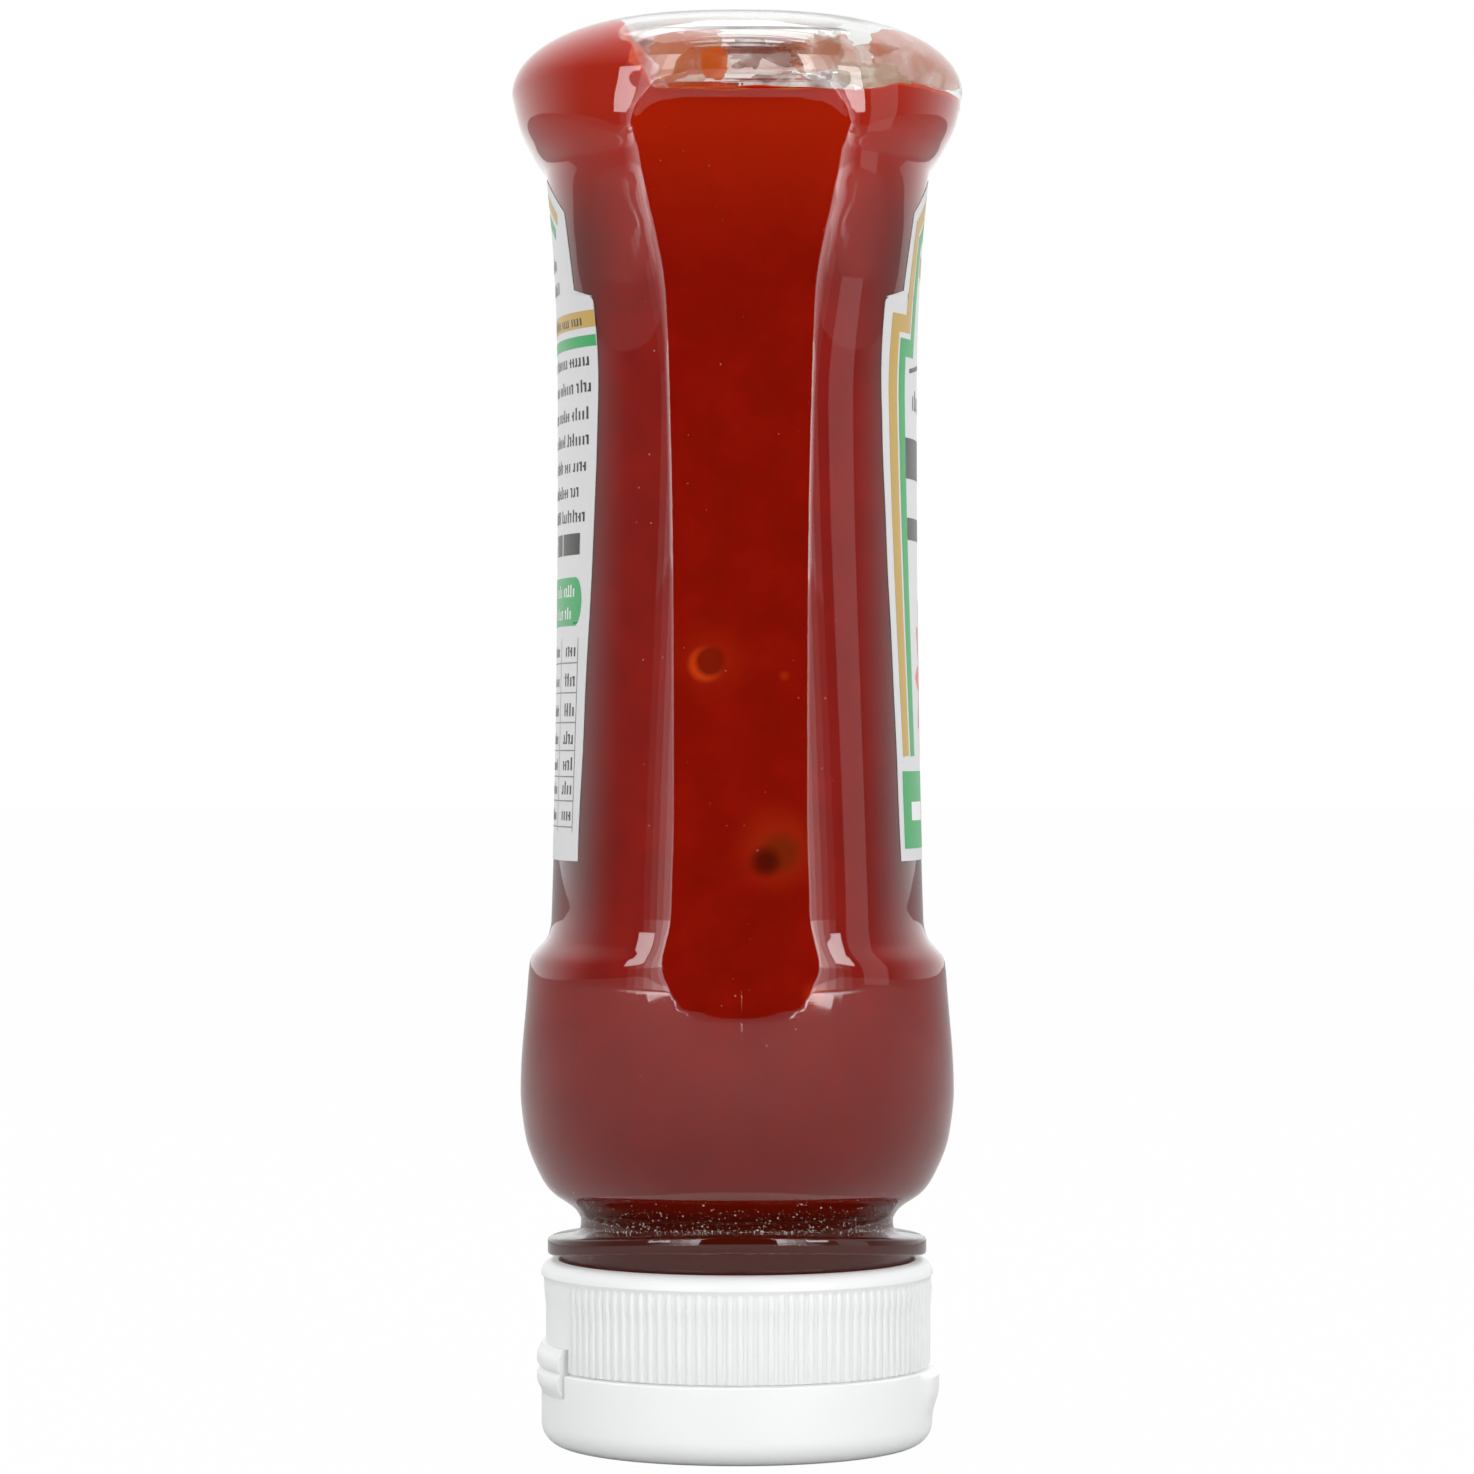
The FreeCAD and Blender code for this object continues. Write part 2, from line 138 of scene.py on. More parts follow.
# ------------------------------------------------------------ curves
def smooth_curve(stations):
    """A curve through (height, value) stations that adds no bumps between them."""
    heights = [height for height, _ in stations]
    values = [value for _, value in stations]
    last = len(stations) - 1
    spans = [heights[i + 1] - heights[i] for i in range(last)]
    rises = [(values[i + 1] - values[i]) / spans[i] for i in range(last)]
    slopes = [rises[0]] + [0.0] * (last - 1) + [rises[-1]]
    for i in range(1, last):
        if rises[i - 1] * rises[i] > 0:
            before = 2 * spans[i] + spans[i - 1]
            after = spans[i] + 2 * spans[i - 1]
            slopes[i] = (before + after) / (before / rises[i - 1] + after / rises[i])

    def value_at(height):
        held = min(max(height, heights[0]), heights[-1])
        i = min(max(bisect.bisect_left(heights, held) - 1, 0), last - 1)
        t = (held - heights[i]) / spans[i]
        from_start = (1 + 2 * t) * (1 - t) ** 2 * values[i] + t * (1 - t) ** 2 * spans[i] * slopes[i]
        from_end = t * t * (3 - 2 * t) * values[i + 1] + t * t * (t - 1) * spans[i] * slopes[i + 1]
        return from_start + from_end

    return value_at


half_depth_at = smooth_curve([
    (neck_z, neck_radius),
    (neck_z + 0.28 * shoulder_height, neck_radius + 0.5),
    (shoulder_z, shoulder_half_depth),
    (shoulder_z + 0.2 * bulge_rise, shoulder_half_depth + 0.42 * (bulge_half_depth - shoulder_half_depth)),
    (shoulder_z + 0.55 * bulge_rise, bulge_half_depth - 0.5),
    (bulge_z, bulge_half_depth),
    (bulge_top_z, bulge_top_half_depth),
    (bulge_top_z + 0.42 * step_height, bulge_top_half_depth - 0.3),
    (bulge_top_z + 0.78 * step_height, grip_foot_half_depth + 0.34),
    (grip_foot_z, grip_foot_half_depth),
    (waist_z, waist_half_depth),
    (grip_head_z, grip_head_half_depth),
    (grip_head_z + 0.3 * flare_height, grip_head_half_depth + 1.55),
    (grip_head_z + 0.62 * flare_height, heel_half_depth - 0.83),
    (heel_z, heel_half_depth),
])

panel_plane_at = smooth_curve([
    (panel_foot_z - 0.6, bulge_half_width + 1.0),
    (panel_foot_z + 1.0, panel_foot_plane + 0.5),
    (panel_foot_z + 2.4, panel_foot_plane + 0.2),
    (grip_foot_z, panel_foot_plane),
    (waist_z, panel_waist_plane),
    (grip_head_z, panel_head_plane),
    (panel_head_z, panel_ledge_plane),
    (panel_head_z + 1.0, panel_ledge_plane + 0.5),
    (panel_head_z + 2.2, heel_half_width + 1.0),
])

panel_half_at = smooth_curve([
    (panel_foot_z, panel_foot_half - 0.2),
    (bulge_top_z + 0.6 * step_height, panel_foot_half + 0.65),
    (grip_foot_z + 1.5, panel_foot_half - 0.2),
    (grip_foot_z + 24.0, panel_waist_half - 1.1),
    (grip_foot_z + 45.0, panel_waist_half - 0.75),
    (waist_z, panel_waist_half - 0.45),
    (grip_head_z - 18.1, panel_waist_half - 0.25),
    (grip_head_z - 13.4, panel_waist_half - 0.1),
    (grip_head_z - 8.7, panel_waist_half + 0.65),
    (grip_head_z - 5.0, panel_waist_half + 1.65),
    (grip_head_z - 0.3, panel_head_half - 0.65),
    (grip_head_z + 2.3, panel_head_half - 0.35),
    (panel_head_z, panel_head_half - 0.2),
])

squareness_at = smooth_curve([
    (neck_z, neck_squareness),
    (bulge_z, bulge_squareness),
    (grip_foot_z, grip_squareness),
    (waist_z, waist_squareness),
    (grip_head_z, head_squareness),
    (heel_z, heel_squareness),
])

bare_half_width_at = smooth_curve([
    (neck_z, neck_radius),
    (neck_z + 0.28 * shoulder_height, neck_radius + 0.6),
    (shoulder_z, shoulder_half_width),
    (shoulder_z + 0.25 * bulge_rise, shoulder_half_width + 0.5 * (bulge_half_width - shoulder_half_width)),
    (shoulder_z + 0.6 * bulge_rise, bulge_half_width - 0.75),
    (bulge_z, bulge_half_width),
    (bulge_top_z, bulge_half_width),
    (heel_z - 3.6, heel_half_width - 0.45),
    (heel_z, heel_half_width),
])

# Edge between side panel and facet: crisp along the grip, rounder at its ends
panel_corner_at = smooth_curve([
    (panel_foot_z, 0.5),
    (grip_foot_z + 2.0, 0.4),
    (grip_foot_z + 12.0, 0.22),
    (waist_z, 0.2),
    (grip_head_z - 14.0, 0.4),
    (grip_head_z - 2.0, 1.2),
    (panel_head_z - 1.0, 1.2),
    (panel_head_z + 1.6, 0.8),
])


def smooth_step(low, high, value):
    t = min(max((value - low) / (high - low), 0.0), 1.0)
    return t * t * (3 - 2 * t)


class Section:
    """One level cross-section: rounded-rectangular, with flat side panels."""

    def __init__(self, half_depth, half_width, squareness, limit, corner, split):
        self.half_depth = half_depth
        self.half_width = half_width
        self.squareness = squareness
        self.limit = limit
        self.corner = corner
        self.split = split

    def width_at(self, x):
        """Half width at a distance x from the middle."""
        share = min(x / self.half_depth, 1.0)
        y = self.half_width * (1 - share ** self.squareness) ** (1 / self.squareness)
        if self.limit is not None:
            limit = self.limit(x)
            blend = max(self.corner - abs(y - limit), 0.0) / self.corner
            y = min(y, limit) - blend * blend * self.corner / 4
        return y

    def depth_at(self, y):
        """Half depth at a distance y from the middle, on the label faces."""
        share = min(abs(y) / self.half_width, 1.0)
        return self.half_depth * (1 - share ** self.squareness) ** (1 / self.squareness)


def corner_drop(x, half, radius):
    """How far the rounded corners of the panel's end fall away at a place across."""
    into = min(max(x - (half - radius), 0.0), 0.98 * radius)
    return radius - math.sqrt(radius ** 2 - into ** 2)


def facet_width(z):
    """Half width that puts the side panel's edges at their half breadth."""
    n = squareness_at(z)
    return panel_plane_at(z) / (1 - (panel_half_at(z) / half_depth_at(z)) ** n) ** (1 / n)


head_foot_z = grip_head_z - 4.0
foot_head_z = grip_foot_z + 1.0
head_corner = 5.0           # rounding of the side panel's two ends
foot_corner = 1.5


def body_section(z, inset):
    """The body's cross-section at a height up to the heel, set in by a wall."""
    towards_head = smooth_step(head_foot_z, panel_head_z, z)
    towards_foot = smooth_step(foot_head_z, bulge_top_z, z)
    bare_share = max(towards_head, towards_foot)
    cut_z = min(max(z, bulge_top_z + 1.0), grip_head_z)
    width = facet_width(cut_z) * (1 - bare_share) + bare_half_width_at(z) * bare_share

    def plane_at(x):
        if z > grip_foot_z + 0.5 * grip_height:
            drop = corner_drop(x, panel_head_half + 0.3, head_corner)
            reached = z + drop * smooth_step(head_foot_z, grip_head_z + 1, z)
        else:
            drop = corner_drop(x, panel_foot_half + 0.6, foot_corner)
            reached = z - drop * smooth_step(grip_foot_z - 1, grip_foot_z - 5, z)
        return max(panel_plane_at(reached), panel_plane_at(z)) - inset

    cut = plane_at(0.0) + inset < width + 1.0
    return Section(half_depth_at(z) - inset, width - inset, squareness_at(z),
                   plane_at if cut else None, panel_corner_at(z), panel_half_at(z))


def heel_section(lean, inset):
    """Cross-section round the heel: lean 0 is its widest, a quarter turn the rim."""
    inward = 1 - math.cos(lean)
    return Section(
        heel_half_depth - inset - (heel_round_depth - inset) * inward,
        heel_half_width - inset - (heel_round_width - inset) * inward,
        heel_squareness, None, 1.0, panel_head_half * (1 - 0.45 * inward),
    )


def dome_section(share):
    """Cross-section of the pushed-up base, share 1 at its rim and 0 at its middle."""
    return Section(
        (heel_half_depth - heel_round_depth) * share,
        (heel_half_width - heel_round_width) * share,
        heel_squareness, None, 1.0, panel_head_half * 0.55 * share,
    )


parting_columns = [0.0, 0.5 * parting_half, parting_half, 1.6 * parting_half]
panel_columns = 7
corner_columns = 10
facet_columns = 26


def section_quarter(section):
    """(x, y) from the middle of a side panel round to the middle of a label face."""
    split = min(section.split, 0.7 * section.half_depth)
    soft = min(2.2 * section.corner, 0.35 * split)
    scale = min(1.0, split / 4)
    start = parting_columns[-1] * scale
    across = [x * scale for x in parting_columns]
    across += [start + (split - soft - start) * i / panel_columns for i in range(1, panel_columns + 1)]
    across += [split - soft + 2 * soft * i / corner_columns for i in range(1, corner_columns + 1)]
    points = [(x, section.width_at(x)) for x in across]
    n = section.squareness
    turn = math.acos((across[-1] / section.half_depth) ** (n / 2))
    for i in range(1, facet_columns + 1):
        lean = turn * (1 - i / facet_columns)
        points.append((
            section.half_depth * math.cos(lean) ** (2 / n),
            section.half_width * math.sin(lean) ** (2 / n),
        ))
    return points


def section_ring(section, z, parting=0.0):
    """All columns of a cross-section, round from the -Y panel's middle."""
    quarter = section_quarter(section)
    raised = [
        (x, y + parting * math.exp(-((x / (0.6 * parting_half)) ** 2))) for x, y in quarter
    ]
    front = [(x, -y) for x, y in raised] + [(x, y) for x, y in reversed(raised[:-1])]
    back = [(-x, y) for x, y in raised[1:]] + [(-x, -y) for x, y in reversed(raised[1:-1])]
    return [(x, y, z) for x, y in front + back]


def round_ring(radius, z):
    return section_ring(Section(radius, radius, neck_squareness, None, 1.0, 6.6), z)


def parting_at(z):
    """The moulding line stands out most near the two ends of the body."""
    ends = max(smooth_step(waist_z + 20, waist_z + 32, z), smooth_step(grip_foot_z, bulge_top_z, z))
    return parting_rise * (0.25 + 0.75 * ends) * smooth_step(heel_z - 0.5, heel_z - 5, z)


def spaced(start, end, spacing):
    steps = max(1, math.ceil((end - start) / spacing))
    return [start + (end - start) * i / steps for i in range(steps + 1)]


def body_heights(top_z):
    """Heights of the body's rings, closer where the outline turns."""
    marks = [neck_z, bulge_z, bulge_top_z, grip_foot_z + 3, grip_head_z - 14, grip_head_z, heel_z]
    spacings = [0.55, 1.3, 0.55, 1.8, 1.0, 0.4]
    heights = [neck_z]
    for low, high, spacing in zip(marks, marks[1:], spacings):
        heights += [z for z in spaced(low, high, spacing)[1:] if z < top_z - 0.2]
    return heights + [top_z]


# ------------------------------------------------------------ meshes
def plain_mesh(name, points, faces, sharp_angle=None):
    """An object from millimetre points, smooth but for edges past an angle."""
    mesh = bpy.data.meshes.new(name)
    mesh.from_pydata([Vector(point) * MM for point in points], [], faces)
    mesh.validate()
    mesh.shade_smooth()
    if sharp_angle is not None:
        mesh.set_sharp_from_angle(angle=math.radians(sharp_angle))
    piece = bpy.data.objects.new(name, mesh)
    bpy.context.scene.collection.objects.link(piece)
    return piece


def stacked(rings, outward=True, cap_start=True, cap_end=True):
    """Points and faces of rings joined one to the next, capped at the ends."""
    points = [point for ring in rings for point in ring]
    count = len(rings[0])
    faces = []
    for row in range(len(rings) - 1):
        low, high = row * count, (row + 1) * count
        for i in range(count):
            k = (i + 1) % count
            faces.append((low + i, low + k, high + k, high + i))
    if cap_start:
        faces.append(tuple(range(count))[::-1])
    if cap_end:
        last = (len(rings) - 1) * count
        faces.append(tuple(range(last, last + count)))
    if not outward:
        faces = [face[::-1] for face in faces]
    return points, faces


def joined(*parts):
    """Several (points, faces) as one."""
    points, faces = [], []
    for more_points, more_faces in parts:
        first = len(points)
        points += more_points
        faces += [tuple(first + i for i in face) for face in more_faces]
    return points, faces


# ------------------------------------------------------------ materials
def linear(code):
    """sRGB hex to linear red, green, blue, alpha."""
    channels = [int(code[i:i + 2], 16) / 255 for i in (1, 3, 5)]
    return [c / 12.92 if c <= 0.04045 else ((c + 0.055) / 1.055) ** 2.4 for c in channels] + [1.0]


def new_material(name):
    """A material, its empty tree and the Object coordinates to build it on."""
    material = bpy.data.materials.new(name)
    material.use_nodes = True
    tree = material.node_tree
    tree.nodes.clear()
    return material, tree, add(tree, "ShaderNodeTexCoord").outputs["Object"]


def add(tree, kind, settings=None, links=None):
    """Add a node; settings are its own values or its inputs', links its inputs' sources."""
    made = tree.nodes.new(kind)
    for name, value in (settings or {}).items():
        if isinstance(value, str) and value.startswith("#"):
            value = linear(value)
        if isinstance(name, str) and hasattr(made, name) and name not in made.inputs:
            setattr(made, name, value)
        else:
            made.inputs[name].default_value = value
    for name, source in (links or {}).items():
        socket = source if isinstance(source, bpy.types.NodeSocket) else source.outputs[0]
        tree.links.new(socket, made.inputs[name])
    return made


def finished(material, shader):
    add(material.node_tree, "ShaderNodeOutputMaterial", links={"Surface": shader})
    return material


def give(piece, material, slot, *nodes):
    """Finish a piece: material, body, and hide the nodes it stands for; slot is not used."""
    if material is not None:
        piece.data.materials.append(material)
    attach(piece, "root")
    if nodes:
        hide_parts(*nodes)


def layered(tree, colour, *coats):
    """Lay tints over a colour in turn, each as far as its share says."""
    for share, tint in coats:
        settings, links = {"data_type": "RGBA", 7: tint}, {0: share}
        (settings if isinstance(colour, str) else links)[6] = colour
        colour = add(tree, "ShaderNodeMix", settings, links).outputs[2]
    return colour


def share_between(tree, value, start, end, low, high):
    """A soft change from one share to another between two places in mm."""
    return add(tree, "ShaderNodeMapRange", {
        "interpolation_type": "SMOOTHSTEP", "From Min": start * MM, "From Max": end * MM,
        "To Min": low, "To Max": high,
    }, {"Value": value})


def clear_pet():
    """Stretch-blow-moulded PET, IOR 1.575: glossy, with edges that bend light.

    Faint waves from blowing blur what it mirrors, and lamps shine through it.
    """
    material, tree, place = new_material("clear_blow_moulded_pet")
    waves = add(tree, "ShaderNodeTexNoise", {"Scale": 90.0, "Detail": 1.0}, {"Vector": place})
    scuffs = add(tree, "ShaderNodeTexNoise", {"Scale": 900.0, "Detail": 2.0}, {"Vector": place})
    rough = add(tree, "ShaderNodeMapRange",
                {"From Min": 0.55, "From Max": 0.8, "To Min": 0.02, "To Max": 0.035},
                {"Value": scuffs})
    bump = add(tree, "ShaderNodeBump", {"Strength": 0.06, "Distance": 0.0004}, {"Height": waves})
    glass = add(tree, "ShaderNodeBsdfPrincipled", {
        "Base Color": "#F6F8F6", "IOR": 1.575, "Transmission Weight": 1.0,
    }, {"Roughness": rough, "Normal": bump})
    through = add(tree, "ShaderNodeBsdfTransparent", {"Color": "#F2F3F1"})
    path = add(tree, "ShaderNodeLightPath")
    lamp_rays = add(tree, "ShaderNodeMath", {"operation": "MAXIMUM"},
                    {0: path.outputs["Is Shadow Ray"], 1: path.outputs["Is Diffuse Ray"]})
    return finished(material, add(tree, "ShaderNodeMixShader",
                                  links={0: lamp_rays, 1: glass, 2: through}))


def ketchup_body():
    """Tomato ketchup: dense, smooth red, with painted light turning it orange near the heel and painted shade
    darkening it at the bulge, in the neck and beside the labels.
    """
    material, tree, place = new_material("tomato_ketchup")
    mottle = add(tree, "ShaderNodeTexNoise", {"Scale": 220.0, "Detail": 3.0, "Roughness": 0.6},
                 {"Vector": place})
    mottle_share = add(tree, "ShaderNodeMapRange", {"From Min": 0.35, "From Max": 0.7},
                       {"Value": mottle})
    apart = add(tree, "ShaderNodeSeparateXYZ", links={"Vector": place})
    height = apart.outputs["Z"]
    aside = add(tree, "ShaderNodeMath", {"operation": "ABSOLUTE"}, {0: apart.outputs["X"]})
    # painted shade: the ketchup darkens towards the label faces along the grip, where the labels shade it
    painted_label_shade = share_between(tree, aside, 11.5, 18.0, 0.0, 0.7)
    for end in (share_between(tree, height, label_foot_z - 12, label_foot_z, 0.0, 1.0),
                share_between(tree, height, grip_head_z + 2, grip_head_z - 10, 0.0, 1.0)):
        painted_label_shade = add(tree, "ShaderNodeMath", {"operation": "MULTIPLY"}, {0: painted_label_shade, 1: end})
    coats = [
        (mottle_share, "#901206"),
        # painted light: lighter, more orange red towards the heel, where light comes in from above
        (share_between(tree, height, grip_head_z - 14, heel_z, 0.0, 0.8), "#B42408"),
        # painted shade: darker red over the bulge and shoulder, whose lower side turns away from the light
        (share_between(tree, height, grip_foot_z - 2, shoulder_z + 6, 0.0, 0.45), "#5A0F06"),
        # painted shade: dark brown in the neck, tucked under the shoulder and transfer ring
        (share_between(tree, height, shoulder_z + 1, neck_z, 0.0, 0.95), "#4E1509"),
        (painted_label_shade, "#4A120A"),
    ]
    for centre, radius, soft, strength, tint in ketchup_spots:
        away = add(tree, "ShaderNodeVectorMath",
                   {"operation": "DISTANCE", 1: [c * MM for c in centre]}, {0: place})
        share = share_between(tree, away.outputs["Value"], radius + soft, radius - soft, 0.0, 1.0)
        share = add(tree, "ShaderNodeMath", {"operation": "MULTIPLY", 1: strength}, {0: share})
        coats.append((share, tint))
    return finished(material, add(tree, "ShaderNodeBsdfPrincipled", {
        "Roughness": 0.5, "Specular IOR Level": 0.0, "Subsurface Weight": 0.35,
        "Subsurface Radius": (1.0, 0.22, 0.1), "Subsurface Scale": 0.003,
    }, {"Base Color": layered(tree, "#840F04", *coats)}))


def wet_ketchup():
    """The same ketchup where it meets air: a wet skin over uneven lumps."""
    material, tree, place = new_material("wet_ketchup_surface")
    lumps = add(tree, "ShaderNodeTexNoise", {"Scale": 420.0, "Detail": 3.0}, {"Vector": place})
    bump = add(tree, "ShaderNodeBump", {"Strength": 0.25, "Distance": 0.0008}, {"Height": lumps})
    share = add(tree, "ShaderNodeMapRange", {"From Min": 0.35, "From Max": 0.7}, {"Value": lumps})
    return finished(material, add(tree, "ShaderNodeBsdfPrincipled", {
        "Roughness": 0.12, "IOR": 1.38, "Subsurface Weight": 0.3,
        "Subsurface Radius": (1.0, 0.3, 0.12), "Subsurface Scale": 0.003,
    }, {"Base Color": layered(tree, "#B42A0C", (share, "#CC4410")), "Normal": bump}))


def smear(name, code, thin):
    """A thin film of ketchup left on the wall: part colour, part see-through."""
    material, tree, place = new_material(name)
    streaks = add(tree, "ShaderNodeTexNoise", {"Scale": 300.0, "Detail": 4.0, "Distortion": 0.6},
                  {"Vector": place})
    share = add(tree, "ShaderNodeMapRange",
                {"From Min": 0.3, "From Max": 0.7, "To Min": thin[0], "To Max": thin[1]},
                {"Value": streaks})
    film = add(tree, "ShaderNodeBsdfPrincipled",
               {"Base Color": code, "Roughness": 0.25, "Specular IOR Level": 0.3})
    lit = add(tree, "ShaderNodeBsdfTranslucent", {"Color": code})
    body = add(tree, "ShaderNodeMixShader", {0: 0.5}, {1: film, 2: lit})
    gap = add(tree, "ShaderNodeBsdfTransparent")
    return finished(material, add(tree, "ShaderNodeMixShader", links={0: share, 1: gap, 2: body}))


def white_cap_plastic():
    """Injection-moulded polypropylene, IOR 1.49: soft satin, slightly see-through."""
    material, tree, place = new_material("white_moulded_polypropylene")
    grain = add(tree, "ShaderNodeTexNoise", {"Scale": 1500.0, "Detail": 2.0}, {"Vector": place})
    cloud = add(tree, "ShaderNodeTexNoise", {"Scale": 60.0, "Detail": 2.0}, {"Vector": place})
    bump = add(tree, "ShaderNodeBump", {"Strength": 0.05, "Distance": 0.0002}, {"Height": grain})
    return finished(material, add(tree, "ShaderNodeBsdfPrincipled", {
        "Roughness": 0.38, "IOR": 1.49, "Subsurface Weight": 0.25,
        "Subsurface Radius": (1.0, 1.0, 1.0), "Subsurface Scale": 0.0012,
    }, {"Base Color": layered(tree, "#EEF0F0", (cloud, "#F2F3F3")), "Normal": bump}))


def printed_film(name, code, roughness=0.34):
    """Ink under a thin varnish on white polypropylene film, IOR 1.49, a little cockled."""
    material, tree, place = new_material(name)
    cockle = add(tree, "ShaderNodeTexNoise", {"Scale": 110.0, "Detail": 1.0}, {"Vector": place})
    fleck = add(tree, "ShaderNodeTexNoise", {"Scale": 2500.0, "Detail": 1.0}, {"Vector": place})
    bump = add(tree, "ShaderNodeBump", {"Strength": 0.12, "Distance": 0.0006}, {"Height": cockle})
    rough = add(tree, "ShaderNodeMapRange",
                {"To Min": roughness - 0.05, "To Max": roughness + 0.08}, {"Value": fleck})
    return finished(material, add(tree, "ShaderNodeBsdfPrincipled",
                                  {"Base Color": code, "IOR": 1.49},
                                  {"Roughness": rough, "Normal": bump}))


def fine_dust():
    """Pale, matt dust and lint that clings to the clear plastic."""
    material, tree, place = new_material("pale_dust")
    tone = add(tree, "ShaderNodeTexNoise", {"Scale": 800.0}, {"Vector": place})
    return finished(material, add(tree, "ShaderNodeBsdfPrincipled", {"Roughness": 0.9},
                                  {"Base Color": layered(tree, "#B9AFA8", (tone, "#E8E4E0"))}))


# Marks in the ketchup against the -Y panel: place, radius, soft edge, strength, tint
panel_inside = -panel_waist_plane + 0.3
ketchup_spots = [
    ((-3.2, panel_inside, 85.6), 3.0, 2.6, 0.3, "#B02C0E"),
    ((-3.7, panel_inside, 85.2), 1.75, 0.45, 0.6, "#DC4A16"),
    ((-3.2, panel_inside, 85.5), 1.55, 0.4, 0.9, "#741206"),
    ((3.9, panel_inside, 65.8), 3.4, 2.4, 0.42, "#B03212"),
    ((4.2, panel_inside, 65.4), 2.0, 1.0, 0.6, "#5C2408"),
    ((2.6, panel_inside, 64.4), 1.5, 0.7, 0.8, "#420A04"),
    ((4.6, panel_inside, 84.0), 0.45, 0.3, 0.35, "#D04010"),
    ((-9.6, panel_inside + 1.5, 73.3), 0.35, 0.2, 0.6, "#D04818"),
    ((13.2, panel_inside + 5.0, 73.5), 0.4, 0.25, 0.6, "#D04818"),
    ((9.2, panel_inside + 2.0, 75.2), 0.3, 0.2, 0.5, "#C84014"),
    ((7.7, panel_inside, 50.4), 1.2, 0.8, 0.6, "#C03A16"),
]


# ------------------------------------------------------------ bottle
ring_tilt = 1.9             # transfer ring's lift at its -Y side


def ring_askew(ring, radius):
    """The transfer ring sits a little askew on the neck, highest at -Y."""
    z = ring[0][2]
    share = 1.0
    if z > ring_top:
        share = 1 - smooth_step(ring_top, ring_top + 1.0, z)
    elif z < ring_foot - 0.05:
        share = 0.6 if z > mouth_z + 1 else 0.0
    elif z < ring_foot + 0.05:
        share = smooth_step(finish_radius, finish_radius + 0.2, radius)
    return [(x, y, z + ring_tilt * share * max(-y / ring_radius, 0.0) ** 1.5) for x, y, _ in ring]


def outer_rings():
    """The bottle's outside from the mouth to the middle of the pushed-up base."""
    edge = 0.35
    ridge = ring_top - ring_slope
    neck = [
        (finish_radius - 0.3, mouth_z), (finish_radius, mouth_z + 0.3),
        (finish_radius, ring_foot - 0.25), (finish_radius + 0.25, ring_foot),
        (ring_radius - edge, ring_foot), (ring_radius - 0.1, ring_foot + 0.1),
        (ring_radius, ring_foot + edge), (ring_radius, ridge),
        (ring_radius - 0.1, ridge + 0.22), (ring_radius - edge, ridge + 0.36),
        (neck_radius + 1.2, ring_top - 0.28), (neck_radius + 0.35, ring_top + 0.05),
        (neck_radius + 0.08, ring_top + 0.4), (neck_radius, ring_top + 0.9),
    ]
    rings = [ring_askew(round_ring(radius, z), radius) for radius, z in neck]
    rings += [section_ring(body_section(z, 0.0), z, parting_at(z)) for z in body_heights(heel_z)]
    return rings + heel_rings(0.0)


def heel_rings(inset):
    rings = []
    for i in range(1, 21):
        lean = math.pi / 2 * i / 20
        rings.append(section_ring(heel_section(lean, inset), heel_z + (heel_rise - inset) * math.sin(lean)))
    for i in range(1, 16):
        share = 1 - (i / 16) ** 1.3
        sag = pushup_height * math.sqrt(1 - share ** 2.2)
        rings.append(section_ring(dome_section(share), total_height - inset - sag))
    return rings


def make_bottle():
    """Clear shell with a real wall: outside, inside and the rim of the mouth."""
    outside = outer_rings()
    inside = [round_ring(bore_radius, mouth_z), round_ring(bore_radius, neck_z - 1.5)]
    inside += [section_ring(body_section(z, wall), z) for z in body_heights(heel_z)]
    inside += heel_rings(wall)
    lip = stacked([inside[0], outside[0]], cap_start=False, cap_end=False)
    skin = stacked(outside, cap_start=False)
    lining = stacked(inside, outward=False, cap_start=False)
    piece = plain_mesh("clear_bottle", *joined(skin, lining, lip), sharp_angle=50)
    merge_doubles(piece)
    give(piece, clear_pet(), "clear_pet", "bottle")


def merge_doubles(piece):
    work = bmesh.new()
    work.from_mesh(piece.data)
    bmesh.ops.remove_doubles(work, verts=work.verts, dist=1e-6)
    work.to_mesh(piece.data)
    work.free()


# ------------------------------------------------------------ ketchup
pool_z = heel_z - 2.2       # level in the air pocket
sink = 0.3                  # how far the ketchup reaches into the wall


def ceiling_z(x, y):
    """Height of the middle of the wall over a place: heel, rim or pushed-up dome."""
    n = heel_squareness
    dome = ((abs(x) / (heel_half_depth - heel_round_depth)) ** n
            + (abs(y) / (heel_half_width - heel_round_width)) ** n) ** (1 / n)
    if dome < 1:
        return total_height - sink - pushup_height * math.sqrt(1 - dome ** 2.2)
    low, high = 0.0, math.pi / 2
    for _ in range(16):
        lean = (low + high) / 2
        section = heel_section(lean, sink)
        reach = (abs(x) / section.half_depth) ** n + (abs(y) / section.half_width) ** n
        if reach > 1:
            high = lean
        else:
            low = lean
    return heel_z + (heel_rise - sink) * math.sin(low)


def cling(x, y):
    """1 where ketchup still clings up to the base, 0 over the open pocket."""
    wobble = 2.2 * noise.noise(Vector((x * 0.16, y * 0.16, 3.0)))
    wobble += 0.8 * noise.noise(Vector((x * 0.5, y * 0.5, 7.0)))
    near_back = smooth_step(8.0, 20.0, y)
    left = smooth_step(-8.0 + 9.0 * near_back, -13.0 + 9.0 * near_back, x + wobble)
    right = 0.32 * smooth_step(12.0, 17.0, x + wobble)
    return max(left, right)


def surface_z(x, y):
    ripple = 0.35 * noise.noise(Vector((x * 0.22, y * 0.22, 1.0)))
    share = cling(x, y)
    top = ceiling_z(x, y)
    return min(top, pool_z + ripple * (1 - share) + (top - pool_z) * share)


